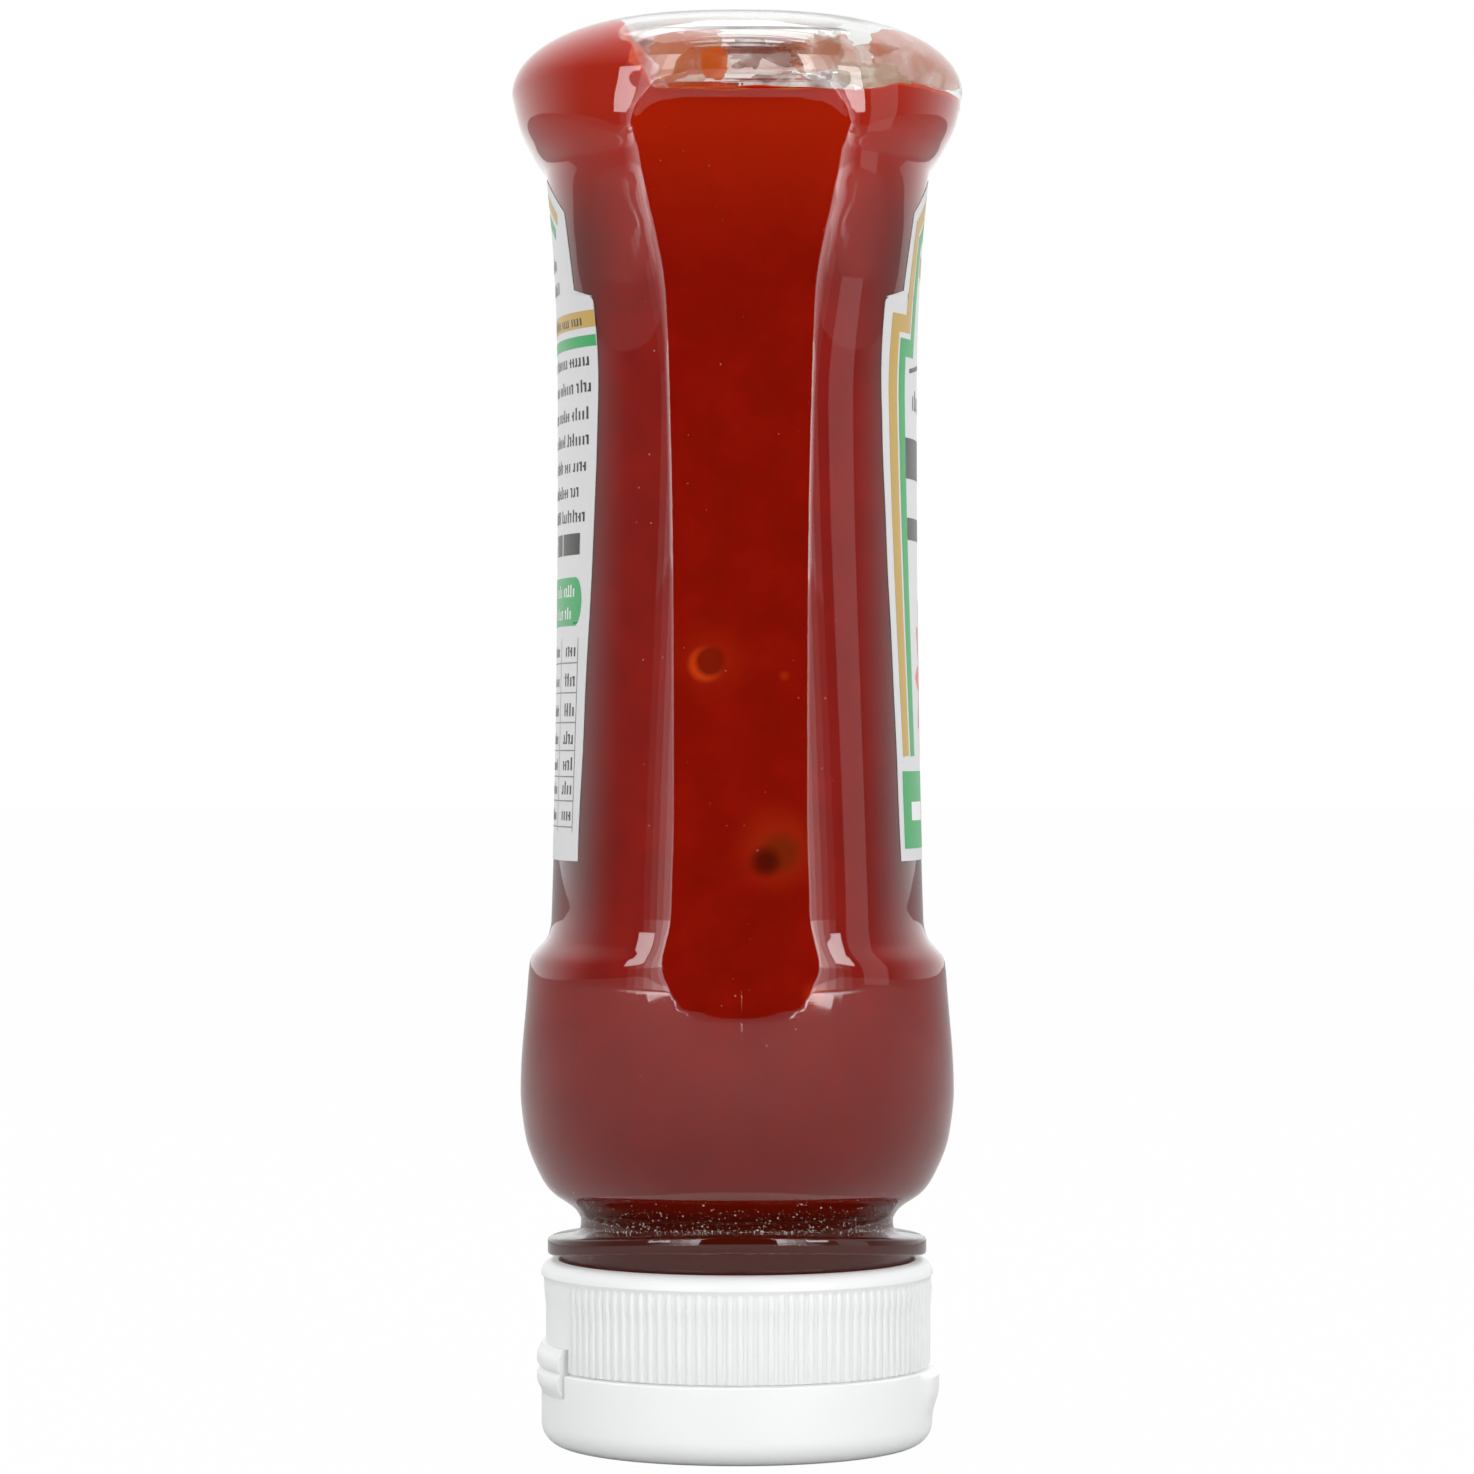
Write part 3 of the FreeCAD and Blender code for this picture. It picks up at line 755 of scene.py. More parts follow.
def make_ketchup():
    """Filling that reaches half way into the wall, with its own free surface."""
    rings = [round_ring(bore_radius + sink, mouth_z + 0.05), round_ring(bore_radius + sink, neck_z - 1.5)]
    rings += [section_ring(body_section(z, sink), z) for z in body_heights(pool_z)]
    edge = rings[-1]
    lift_rows = 4
    outer_ring = section_ring(heel_section(0.0, sink), heel_z)
    tops = [pool_z + (heel_z - pool_z) * cling(x, y) for x, y, _ in outer_ring]
    for i in range(1, lift_rows + 1):
        share = i / lift_rows
        rings.append([
            (x0 + (x1 - x0) * share, y0 + (y1 - y0) * share, pool_z + (top - pool_z) * share)
            for (x0, y0, _), (x1, y1, _), top in zip(edge, outer_ring, tops)
        ])
    inner_rows = 40
    for i in range(1, inner_rows):
        share = math.sin((1 - i / inner_rows) * math.pi / 2)
        rings.append([(x * share, y * share, surface_z(x * share, y * share)) for x, y, _ in outer_ring])
    points, faces = stacked(rings)
    piece = plain_mesh("ketchup_filling", points, faces)
    piece.data.materials.append(ketchup_body())
    piece.data.materials.append(wet_ketchup())
    for face in piece.data.polygons:
        x, y, z = [c / MM for c in face.center]
        open_top = z > pool_z - 0.3 and face.normal.z > 0.2
        if open_top and z < ceiling_z(x, y) - 0.35:
            face.material_index = 1
    give(piece, None, "ketchup", "ketchup")


# ------------------------------------------------------------ smears and dust
def wall_place(x, z, inset):
    """A place inside the -Y wall or the heel above it."""
    if z <= heel_z:
        return x, -body_section(z, inset).width_at(abs(x)), z
    section = heel_section(math.asin(min((z - heel_z) / (heel_rise - inset), 0.999)), inset)
    return x, -section.width_at(abs(x)), z


def wall_smear(name, material, x0, x1, z0, z1, seed, ragged=0.2, inset=0.5):
    """A film with an uneven outline on the inside of the wall."""
    middle_x, middle_z = (x0 + x1) / 2, (z0 + z1) / 2
    points = [wall_place(middle_x, middle_z, inset)]
    faces = []
    count, rings = 80, 10
    for k in range(1, rings + 1):
        for i in range(count):
            turn = math.tau * i / count
            way = Vector((math.cos(turn), math.sin(turn), 0))
            reach = 1 + ragged * noise.noise(way * 1.6 + Vector((0, 0, seed)))
            reach += 0.5 * ragged * noise.noise(way * 6 + Vector((0, 0, seed)))
            r = reach * (abs(way.x) ** 3 + abs(way.y) ** 3) ** (-1 / 3) * k / rings
            x = middle_x + (x1 - x0) / 2 * r * way.x
            points.append(wall_place(x, middle_z + (z1 - z0) / 2 * r * way.y, inset))
    for i in range(count):
        j = (i + 1) % count
        faces.append((0, 1 + i, 1 + j))
        for k in range(rings - 1):
            low, high = 1 + k * count, 1 + (k + 1) * count
            faces.append((low + i, high + i, high + j, low + j))
    give(plain_mesh(name, points, faces), material, "ketchup", "ketchup")


def make_smears():
    orange = smear("thin_orange_ketchup_film", "#DC6410", (0.8, 1.0))
    amber = smear("thin_amber_ketchup_film", "#C9743E", (0.35, 0.9))
    brown = smear("dried_brown_ketchup_film", "#7C4434", (0.1, 0.85))
    cream = smear("dried_cream_ketchup_film", "#CDB49A", (0.6, 0.95))
    pink = smear("wet_pink_ketchup_film", "#CC7A58", (0.45, 0.9))
    dark = smear("dark_dried_rim", "#3C3230", (0.5, 1.0))
    wall_smear("smear_left", orange, -4.2, -1.4, 146.6, 149.6, 3.1)
    wall_smear("smear_left_wide", amber, -9.6, -1.2, 146.2, 151.4, 5.7, 0.3, 0.52)
    wall_smear("smear_middle", brown, -1.4, 5.2, 147.4, 150.4, 9.2, 0.9)
    wall_smear("smear_middle_low", brown, 1.0, 12.5, 145.5, 147.2, 14.4, 0.5, 0.53)
    wall_smear("smear_right", cream, 9.6, 17.2, 145.7, 148.4, 4.4, 0.35, 0.48)
    wall_smear("smear_right_high", amber, 6.0, 14.5, 148.0, 151.0, 2.4, 0.8)
    wall_smear("smear_right_streak", brown, 7.4, 10.4, 147.6, 151.2, 21.4, 0.9, 0.53)
    wall_smear("smear_far_right", pink, 13.4, 23.2, 146.4, 152.6, 8.8, 0.2, 0.56)
    wall_smear("rim_line", dark, -8.0, 12.6, 151.75, 152.05, 6.1, 0.6)


def make_dust():
    """Pale specks caught round the neck and a few on the body."""
    dice = random.Random(12)
    points, faces = [], []

    def speck(middle, size):
        first = len(points)
        turn, tip = dice.uniform(0, math.pi), dice.uniform(0.3, 1.0)
        for k in range(4):
            angle = turn + k * math.pi / 2
            reach = size * (1.0 if k % 2 else tip * 0.6)
            out = Vector(middle[:2]).normalized() * 0.02
            side = Vector((-out.y, out.x)).normalized() * reach * math.cos(angle)
            points.append((
                middle[0] + out.x + side.x, middle[1] + out.y + side.y, middle[2] + reach * math.sin(angle),
            ))
        faces.append(tuple(range(first, first + 4)))

    for _ in range(2200):
        turn = dice.uniform(0, math.tau)
        z = ring_top + 0.3 + abs(dice.gauss(0, 2.0))
        if z > shoulder_z + 0.8:
            continue
        x, y = math.cos(turn), math.sin(turn)
        lift = ring_tilt * max(-y, 0.0) ** 1.5 * (1 - smooth_step(ring_top, ring_top + 1.0, z))
        section = body_section(max(z, neck_z), 0.0)
        x *= section.half_depth
        y = math.copysign(section.width_at(abs(x)), y)
        if z < neck_z:
            reach = 1 + (0.06 + 1.1 * smooth_step(ring_top + 0.9, ring_top + 0.1, z)) / neck_radius
            x, y = x * reach, y * reach
        speck((x, y, z + lift), dice.choice((0.05, 0.06, 0.08, 0.14)))
    for _ in range(90):
        z = dice.uniform(bulge_z, grip_head_z + 3)
        x = dice.uniform(-11, 11)
        section = body_section(z, 0.0)
        y = section.width_at(abs(x)) * dice.choice((-1, -1, 1))
        speck((x, y, z), dice.choice((0.05, 0.06, 0.09)))
    give(plain_mesh("dust_specks", points, faces), fine_dust(), "clear_pet", "bottle")


# ------------------------------------------------------------ cap
hinge_half = 9.8
hinge_slot = 0.5            # gap at each side of the strap
hinge_depth = 0.9
hinge_reach = 0.5
hinge_thinning = 0.45       # groove where the strap bends
foot_round = 2.6
shoulder_round = 1.5
rib_top = 18.7
bore_gap = 0.25
tab_reach = 0.75
tab_half = 7.5
tab_height = 5.4


def cap_turns():
    """Angles round the cap, with pairs that mark the hinge pocket's sides."""
    even = [math.tau * i / 360 for i in range(360)]
    half = math.asin((hinge_half + hinge_slot) / lid_radius)
    marks = [math.pi + side * (half + nudge) for side in (-1, 1) for nudge in (-0.002, 0.002)]
    return sorted([turn for turn in even if all(abs(turn - m) > 0.004 for m in marks)] + marks)


def in_pocket(turn):
    return abs(turn - math.pi) < math.asin((hinge_half + hinge_slot) / lid_radius)


def tab_share(turn):
    """1 across the thumb tab at +X, falling away at its two ends."""
    off = abs((turn + math.pi) % math.tau - math.pi) * lid_radius
    return 1 - smooth_step(tab_half - 1.2, tab_half + 1.6, off)


def cap_rings(profile, radius_at):
    """Rings of the cap up a profile of (radius, height)."""
    rings = []
    for radius, z in profile:
        ring = []
        for turn in cap_turns():
            r = radius_at(radius, z, turn)
            ring.append((r * math.cos(turn), r * math.sin(turn), z))
        rings.append(ring)
    return rings


def drawn_in(ring, share, z):
    """A copy of a ring nearer the cap's axis, at a height."""
    return [(x * share, y * share, z) for x, y, _ in ring]


def make_lid():
    """Smooth lid with a rounded foot, a thumb tab and the hinge's pocket."""
    tab_top = lid_height - 0.25
    profile = [(lid_radius - foot_round, 0.0)]
    for i in range(1, 11):
        lean = math.pi / 2 * i / 10
        profile.append((
            lid_radius - foot_round + foot_round * math.sin(lean), foot_round * (1 - math.cos(lean)),
        ))
    for z in (3.0, 3.4, 3.8, 4.2, 4.6, 5.0, 5.5, 5.99, 6.0, 6.5, 7.0, 7.5, 7.9, 8.15, 8.3, 8.45):
        profile.append((lid_radius, z))
    profile += [(lid_radius - 0.12, lid_height - 0.04), (lid_radius - 0.35, lid_height)]

    def radius_at(radius, z, turn):
        rise = smooth_step(tab_top - tab_height, tab_top - 1.8, z)
        reach = tab_reach * rise * (1 - smooth_step(tab_top - 0.35, tab_top + 0.1, z))
        r = radius + tab_share(turn) * reach
        return r - hinge_depth if in_pocket(turn) and z >= hinge_foot else r

    rings = cap_rings(profile, radius_at)
    rings.insert(0, drawn_in(rings[0], 0.5, 0.0))
    rings.append(drawn_in(rings[-1], 0.99, lid_height + 0.02))
    rings.append(drawn_in(rings[-1], 0.99, collar_foot + 0.02))
    rings.append(drawn_in(rings[-1], 0.5, collar_foot + 0.02))
    piece = plain_mesh("cap_lid_shell", *stacked(rings), sharp_angle=32)
    give(piece, cap_white, "cap_plastic", "cap_lid")


def swell_at(z):
    """The collar swells a little towards its top."""
    return 0.2 * smooth_step(15.0, 17.4, z)


def make_collar():
    """Collar: a narrow smooth shoulder over a skirt that carries the ribs."""
    root = collar_radius - rib_height
    band = collar_radius + 0.25
    profile = [(root - 0.3, collar_foot), (root - 0.08, collar_foot + 0.06), (root, collar_foot + 0.25)]
    profile += [(root, z) for z in (9.6, 10.2, 10.8, hinge_top - 0.01, hinge_top, 12.0, 13.5, 15.0)]
    profile += [(root + swell_at(z), z) for z in (15.5, 16.0, 16.5, 17.0, 17.5, 18.0)]
    profile += [(root + swell_at(18.4) + 0.06, 18.4), (band, 18.75)]
    for i in range(1, 9):
        lean = math.pi / 2 * i / 8
        profile.append((
            band - shoulder_round * (1 - math.cos(lean)),
            collar_top - shoulder_round + shoulder_round * math.sin(lean),
        ))
    bore = finish_radius + bore_gap
    profile += [(bore + 0.12, collar_top), (bore, collar_top - 0.12)]
    profile += [(bore, mouth_z + 0.05), (8.0, mouth_z + 0.05)]

    def radius_at(radius, z, turn):
        return radius - hinge_depth if in_pocket(turn) and z < hinge_top and radius > bore + 1 else radius

    rings = cap_rings(profile, radius_at)
    rings.insert(0, drawn_in(rings[0], 0.5, collar_foot))
    piece = plain_mesh("cap_collar_shell", *stacked(rings), sharp_angle=32)
    give(piece, cap_white, "cap_plastic", "cap_collar")


def rib_tree():
    """Geometry Nodes that stand a rib on each point of a circle, turned outwards."""
    tree = bpy.data.node_groups.new("collar_ribs", "GeometryNodeTree")
    tree.interface.new_socket(name="Geometry", in_out="OUTPUT", socket_type="NodeSocketGeometry")
    for name, kind in (("Rib", "Object"), ("Count", "Int"), ("Radius", "Float"), ("Finish", "Material")):
        tree.interface.new_socket(name=name, in_out="INPUT", socket_type="NodeSocket" + kind)
    given = add(tree, "NodeGroupInput").outputs
    circle = add(tree, "GeometryNodeMeshCircle",
                 links={"Vertices": given["Count"], "Radius": given["Radius"]})
    rib = add(tree, "GeometryNodeObjectInfo", links={"Object": given["Rib"]})
    spot = add(tree, "GeometryNodeInputPosition")
    apart = add(tree, "ShaderNodeSeparateXYZ", links={"Vector": spot})
    angle = add(tree, "ShaderNodeMath", {"operation": "ARCTAN2"},
                {0: apart.outputs["Y"], 1: apart.outputs["X"]})
    turn = add(tree, "ShaderNodeCombineXYZ", links={"Z": angle})
    placed = add(tree, "GeometryNodeInstanceOnPoints", links={
        "Points": circle, "Instance": rib.outputs["Geometry"], "Rotation": turn,
    })
    real = add(tree, "GeometryNodeRealizeInstances", links={"Geometry": placed})
    finish = add(tree, "GeometryNodeSetMaterial", links={"Geometry": real, "Material": given["Finish"]})
    add(tree, "NodeGroupOutput", links={"Geometry": finish})
    return tree


def evaluated_copy(name, tree, values):
    """Run a Geometry Nodes tree on an empty mesh and keep the result as a mesh."""
    carrier = bpy.data.objects.new(name + "_carrier", bpy.data.meshes.new(name + "_carrier"))
    bpy.context.scene.collection.objects.link(carrier)
    modifier = carrier.modifiers.new("pattern", "NODES")
    modifier.node_group = tree
    for item in tree.interface.items_tree:
        if item.in_out == "INPUT" and item.name in values:
            modifier[item.identifier] = values[item.name]
    carrier.update_tag()
    bpy.context.view_layer.update()
    graph = bpy.context.evaluated_depsgraph_get()
    mesh = bpy.data.meshes.new_from_object(carrier.evaluated_get(graph))
    bpy.data.objects.remove(carrier)
    piece = bpy.data.objects.new(name, mesh)
    bpy.context.scene.collection.objects.link(piece)
    return piece


def rib_seed():
    """One rib, rounded across, tapering into the skirt at both ends."""
    low = collar_foot + 0.05
    rings = []
    for z, share in ((low, 0.55), (low + 0.25, 1.0), (12.0, 1.0), (15.0, 1.0), (15.6, 1.0), (16.2, 1.0),
                     (16.8, 0.95), (17.4, 0.85), (18.0, 0.6), (rib_top, 0.2)):
        ring = []
        for i in range(9):
            lean = math.pi * i / 8
            crown = (rib_height + 0.04) * share * math.sin(lean)
            ring.append((swell_at(z) - 0.06 + crown, -0.36 * math.cos(lean), z))
        ring += [(-0.25, 0.36, z), (-0.25, -0.36, z)]
        rings.append(ring[::-1])
    return plain_mesh("rib_seed", *stacked(rings, outward=False), sharp_angle=50)


def make_cap():
    make_lid()
    make_collar()
    seed = rib_seed()
    ribs = evaluated_copy("cap_ribs", rib_tree(), {
        "Rib": seed, "Count": rib_count, "Radius": (collar_radius - rib_height) * MM, "Finish": cap_white,
    })
    bpy.data.objects.remove(seed)
    drop_hinge_ribs(ribs)
    ribs.data.shade_smooth()
    ribs.data.set_sharp_from_angle(angle=math.radians(50))
    give(ribs, None, "cap_plastic", "cap_collar")
    make_hinge()


def drop_hinge_ribs(ribs):
    """Ribs stop at the sides of the hinge pocket."""
    work = bmesh.new()
    work.from_mesh(ribs.data)
    clear_half = (hinge_half + hinge_slot + 0.35) * MM
    gone = [v for v in work.verts if v.co.x < 0 and abs(v.co.y) < clear_half]
    bmesh.ops.delete(work, geom=gone, context="VERTS")
    work.to_mesh(ribs.data)
    work.free()


def make_hinge():
    """Moulded strap hinge in its pocket, thinned across the middle where it bends."""
    half = math.asin(hinge_half / lid_radius)
    turns = [math.pi - half + 2 * half * i / 40 for i in range(41)]
    inner = lid_radius - hinge_depth + 0.02
    middle = (hinge_foot + hinge_top) / 2
    rows = []
    for i in range(17):
        z = hinge_foot + 0.02 + (hinge_top - hinge_foot - 0.04) * i / 16
        away = abs(z - middle)
        reach = lid_radius + hinge_reach * smooth_step(2.7, 1.4, away)
        rows.append((z, reach - hinge_thinning * (1 - smooth_step(0.0, 0.5, away))))
    outline = [(reach, z) for z, reach in rows] + [(inner, rows[-1][0]), (inner, rows[0][0])]
    rings = [
        [(radius * math.cos(turn), radius * math.sin(turn), z) for radius, z in outline] for turn in turns
    ]
    piece = plain_mesh("cap_hinge_strap", *stacked(rings, outward=False), sharp_angle=40)
    give(piece, cap_white, "cap_plastic", "cap_hinge")


# ------------------------------------------------------------ labels
label_top_z = grip_head_z - 0.2
label_head_height = 14.2
label_step_z = label_top_z - label_head_height
label_arch_rise = 5.0
label_foot_half = 17.1
label_step_half = 19.4
label_head_half = 15.6
label_film = 0.07


def label_point(side, y, z, lift):
    """A place on a label face, lifted off the body along its normal."""
    section = body_section(min(max(z, grip_foot_z), heel_z), 0.0)
    x = section.depth_at(y)
    slope = (section.depth_at(y + 0.05) - section.depth_at(y - 0.05)) / 0.1
    length = math.hypot(1.0, slope)
    return side * (x + lift / length), y - slope * lift / length, z


def label_half_at(z):
    """Half breadth of the label's outline at a height."""
    if z > label_step_z:
        radius = (label_head_half ** 2 + label_arch_rise ** 2) / (2 * label_arch_rise)
        climb = max(z - (label_top_z - label_arch_rise), 0.0)
        drop = max(radius ** 2 - (climb + radius - label_arch_rise) ** 2, 0.0)
        return min(label_head_half, math.sqrt(drop))
    share = ((z - label_foot_z) / (label_step_z - label_foot_z)) ** 1.6
    return label_foot_half + (label_step_half - label_foot_half) * share


def make_label(side, name, material, slot, node):
    """Film on the grip: a fine grid inside the outline, with a real thickness."""
    rows = spaced(label_foot_z, label_step_z - 0.7, 1.0)
    rows += [label_step_z - 0.7 + 0.7 * math.sin(math.pi / 2 * i / 6) for i in range(1, 7)]
    head_rows = spaced(label_step_z, label_top_z - label_arch_rise, 1.0)
    arch_rows = [label_top_z - label_arch_rise * (1 - i / 14) ** 2 for i in range(1, 15)]
    columns = 64
    edge_wave = random.Random(5 + side)
    phase = edge_wave.uniform(0, 6)

    def half(z, share_row):
        wave = 0.16 * noise.noise(Vector((z * 0.11, side * 3.0, phase)))
        return label_half_at(z) + wave - share_row

    def strip(z, half_breadth, lift):
        return [
            label_point(side, half_breadth * (2 * i / columns - 1), z, lift) for i in range(columns + 1)
        ]

    def sheet(heights, halves):
        top = [strip(z, h, label_film) for z, h in zip(heights, halves)]
        low = [strip(z, h, 0.005) for z, h in zip(heights, halves)]
        rings = [t + b[::-1] for t, b in zip(top, low)]
        return stacked(rings, outward=side < 0)

    body_half = []
    for z in rows:
        into = max(z - (label_step_z - 0.7), 0.0) / 0.7
        body_half.append(half(z, 0.7 * (1 - math.sqrt(max(1 - into ** 2, 0.0)))))
    upper = [label_step_z - 0.01] + head_rows[1:] + arch_rows[:-1]
    upper_half = [half(z, 0.0) for z in upper]
    piece = plain_mesh(name, *joined(sheet(rows, body_half), sheet(upper, upper_half)), sharp_angle=40)
    give(piece, material, slot, node)


# ------------------------------------------------------------ label print
class Print:
    """Flat inks on one label, as thin patches that follow its curve."""

    def __init__(self, side, inks):
        self.side = side
        self.inks = inks
        self.sheets = {name: ([], []) for name in inks}

    def patch(self, ink, left, right, layer=0):
        """Fill between two lines of (y, z) places that run side by side."""
        breadth = max(math.dist(a, b) for a, b in zip(left, right))
        columns = max(1, math.ceil(breadth / 0.6))
        points, faces = self.sheets[ink]
        first = len(points)
        lift = label_film + 0.02 + 0.012 * layer
        for (y0, z0), (y1, z1) in zip(left, right):
            for i in range(columns + 1):
                t = i / columns
                points.append(label_point(self.side, y0 + (y1 - y0) * t, z0 + (z1 - z0) * t, lift))
        for row in range(len(left) - 1):
            for i in range(columns):
                low = first + row * (columns + 1) + i
                high = low + columns + 1
                face = (low, low + 1, high + 1, high)
                (ya, za), (yb, zb), (yc, zc) = (points[k][1:] for k in face[:3])
                turn = (yb - ya) * (zc - za) - (yc - ya) * (zb - za)
                faces.append(face if turn * self.side > 0 else face[::-1])

    def bar(self, ink, y0, y1, z0, z1, layer=0):
        rows = spaced(z0, z1, 1.5)
        self.patch(ink, [(y0, z) for z in rows], [(y1, z) for z in rows], layer)

    def stroke(self, ink, path, width, layer=0):
        """A line of one width along corners, its turns mitred."""
        left, right = [], []
        for i, (y, z) in enumerate(path):
            before = path[max(i - 1, 0)]
            after = path[min(i + 1, len(path) - 1)]
            into = Vector((y - before[0], z - before[1])) if i else Vector((after[0] - y, after[1] - z))
            out = Vector((after[0] - y, after[1] - z)) if i < len(path) - 1 else into
            into.normalize()
            out.normalize()
            along = (into + out).normalized()
            reach = width / 2 / max(along.dot(into), 0.5)
            across = Vector((-along.y, along.x)) * reach
            left.append((y - across.x, z - across.y))
            right.append((y + across.x, z + across.y))
        dense_left, dense_right = [left[0]], [right[0]]
        for a, b, c, d in zip(left, left[1:], right, right[1:]):
            steps = max(1, math.ceil(math.dist(a, b) / 1.5))
            for k in range(1, steps + 1):
                t = k / steps
                dense_left.append((a[0] + (b[0] - a[0]) * t, a[1] + (b[1] - a[1]) * t))
                dense_right.append((c[0] + (d[0] - c[0]) * t, c[1] + (d[1] - c[1]) * t))
        self.patch(ink, dense_left, dense_right, layer)

    def leaf(self, ink, base, tip, breadth, layer=0, blunt=1.0):
        """A pointed oval between two places; blunt below 1 fills it out to an egg."""
        way = Vector((tip[0] - base[0], tip[1] - base[1]))
        across = Vector((-way.y, way.x)).normalized() * breadth / 2
        left, right = [], []
        for i in range(17):
            t = i / 16
            half = math.sin(math.pi * t) ** blunt
            middle = Vector(base) + way * t
            left.append(tuple(middle - across * half))
            right.append(tuple(middle + across * half))
        self.patch(ink, left, right, layer)

    def disc(self, ink, y, z, half_y, half_z, layer=0):
        self.leaf(ink, (y, z - half_z), (y, z + half_z), 2 * half_y, layer, 0.5)

    def heading(self, ink, y0, y1, z, height, shares, layer=0):
        """Large type stands as plain bars, one to a word."""
        gap = 0.06 * (y1 - y0)
        room = (y1 - y0) - gap * (len(shares) - 1)
        for share in shares:
            self.bar(ink, y0, y0 + room * share, z, z + height, layer)
            y0 += room * share + gap

    def words(self, ink, y0, y1, z, height, seed, layer=0):
        """A line of small print: short upright strokes set in word-like runs."""
        dice = random.Random(seed)
        y = y0
        left_in_word = dice.randint(3, 9)
        while y < y1 - 0.5 * height:
            tall = height if dice.random() < 0.3 else 0.7 * height
            self.bar(ink, y, y + 0.3 * height, z, z + tall, layer)
            if dice.random() < 0.6:
                level = z + dice.choice((0.0, 0.3, 0.6)) * height
                self.bar(ink, y, y + 0.5 * height, level, level + 0.16 * height, layer)
            y += 0.68 * height
            left_in_word -= 1
            if left_in_word == 0:
                y += 0.55 * height
                left_in_word = dice.randint(3, 9)

    def place(self, names, slot, node):
        for ink, (points, faces) in self.sheets.items():
            if faces:
                piece = plain_mesh(names + "_" + ink, points, faces)
                give(piece, self.inks[ink], slot, node)


def frame_path(margin):
    """A line a set distance inside the label's outline, from foot to foot."""
    arch = []
    head = label_head_half - margin
    radius = (label_head_half ** 2 + label_arch_rise ** 2) / (2 * label_arch_rise)
    spring = label_top_z - label_arch_rise
    for i in range(13):
        y = head * (1 - i / 12)
        arch.append((y, label_top_z - radius + math.sqrt((radius - margin) ** 2 - y * y)))
    foot = label_foot_z + 11.2
    step = label_step_z - margin
    half = [(label_half_at(foot) - margin, foot), (label_half_at(label_step_z - 1) - margin, step)]
    half += [(head, step), (head, min(arch[0][1], spring))] + arch[1:]
    return half + [(-y, z) for y, z in reversed(half[:-1])]


def front_print(inks):
    art = Print(1, inks)
    art.stroke("gold", frame_path(2.5), 1.9)
    art.stroke("green", frame_path(5.0), 1.9)
    field = label_foot_z + 1.3
    art.bar("green", -label_foot_half + 1.0, label_foot_half - 1.0, field, field + 8.3)
    art.heading("white", -13.5, 13.5, field + 3.0, 2.0, (0.3, 0.25, 0.45), 1)
    art.heading("dark", -13.0, 13.0, 105.4, 4.4, (0.62, 0.38))
    art.heading("dark", -12.4, 12.4, 98.8, 2.4, (0.45, 0.55))
    art.heading("gold", -8.6, 8.6, 127.4, 2.2, (0.5, 0.5))
    art.stroke("dark", [(-11.5, 117.0), (0.0, 118.4), (11.5, 117.0)], 0.5)
    art.words("dark", -9.5, 10.0, 112.9, 2.2, 31)
    heart = Vector((0.0, 84.0))
    for turn in range(10):
        lean = math.tau * turn / 10
        way = Vector((math.cos(lean), math.sin(lean)))
        art.leaf("light_red", tuple(heart + 3.2 * way), tuple(heart + 9.4 * way), 2.6)
    art.disc("red", 0.0, 84.0, 3.6, 3.6, 1)
    art.place("front_print", "label_front", "label_front")


def back_print(inks):
    art = Print(-1, inks)
    head = [point for point in frame_path(2.2) if point[1] > label_step_z - 2]
    art.stroke("gold", head[1:-1], 1.3)
    head = [point for point in frame_path(4.3) if point[1] > label_step_z - 2]
    art.stroke("green", head[1:-1], 1.3)
    wide = label_step_half - 0.15
    art.bar("gold", -wide, wide, 121.2, 123.0)
    art.bar("green", -wide + 0.2, wide - 0.2, 119.2, 120.4)
    art.words("dark", -wide + 2.6, -3.0, 121.5, 1.15, 4, 1)
    art.words("grey", -8.6, 8.0, 128.0, 1.5, 41)
    art.words("grey", -9.6, 9.0, 125.4, 1.3, 42)
    for row, z in enumerate((117.2, 114.4, 111.5, 108.8, 106.0, 103.3, 100.6)):
        start = -label_half_at(z) + (1.5, 1.2, 1.6, 1.4, 1.8, 3.4, 1.7)[row]
        art.words("dark", start, label_half_at(z) - 2.4, z, 1.35, 50 + row)
    art.heading("dark", -15.4, -5.0, 97.1, 2.3, (0.6, 0.4))
    art.words("grey", -2.0, 15.0, 97.2, 1.4, 61)
    pill_low, pill_high = 89.5, 94.7
    art.bar("green", -14.6, 12.0, pill_low, pill_high)
    middle = (pill_low + pill_high) / 2
    art.disc("green", -14.6, middle, 1.5, middle - pill_low)
    art.words("white", -14.2, 11.0, middle + 0.5, 1.3, 71, 1)
    art.words("white", -13.2, 9.0, middle - 1.9, 1.3, 72, 1)
    for row, z in enumerate((86.2, 83.0, 79.8, 76.8, 74.0, 71.4, 68.6)):
        art.words("dark", -14.9, -10.6, z, 1.4, 80 + row)
        art.words("dark", -8.0, 11.0, z, 1.2, 90 + row)
        art.bar("grey", -15.6, 13.0, z - 0.75, z - 0.62)
    for y in (-15.6, -9.4, 13.0):
        art.bar("grey", y, y + 0.14, 67.4, 88.2)
    art.place("back_print", "label_back", "label_back")


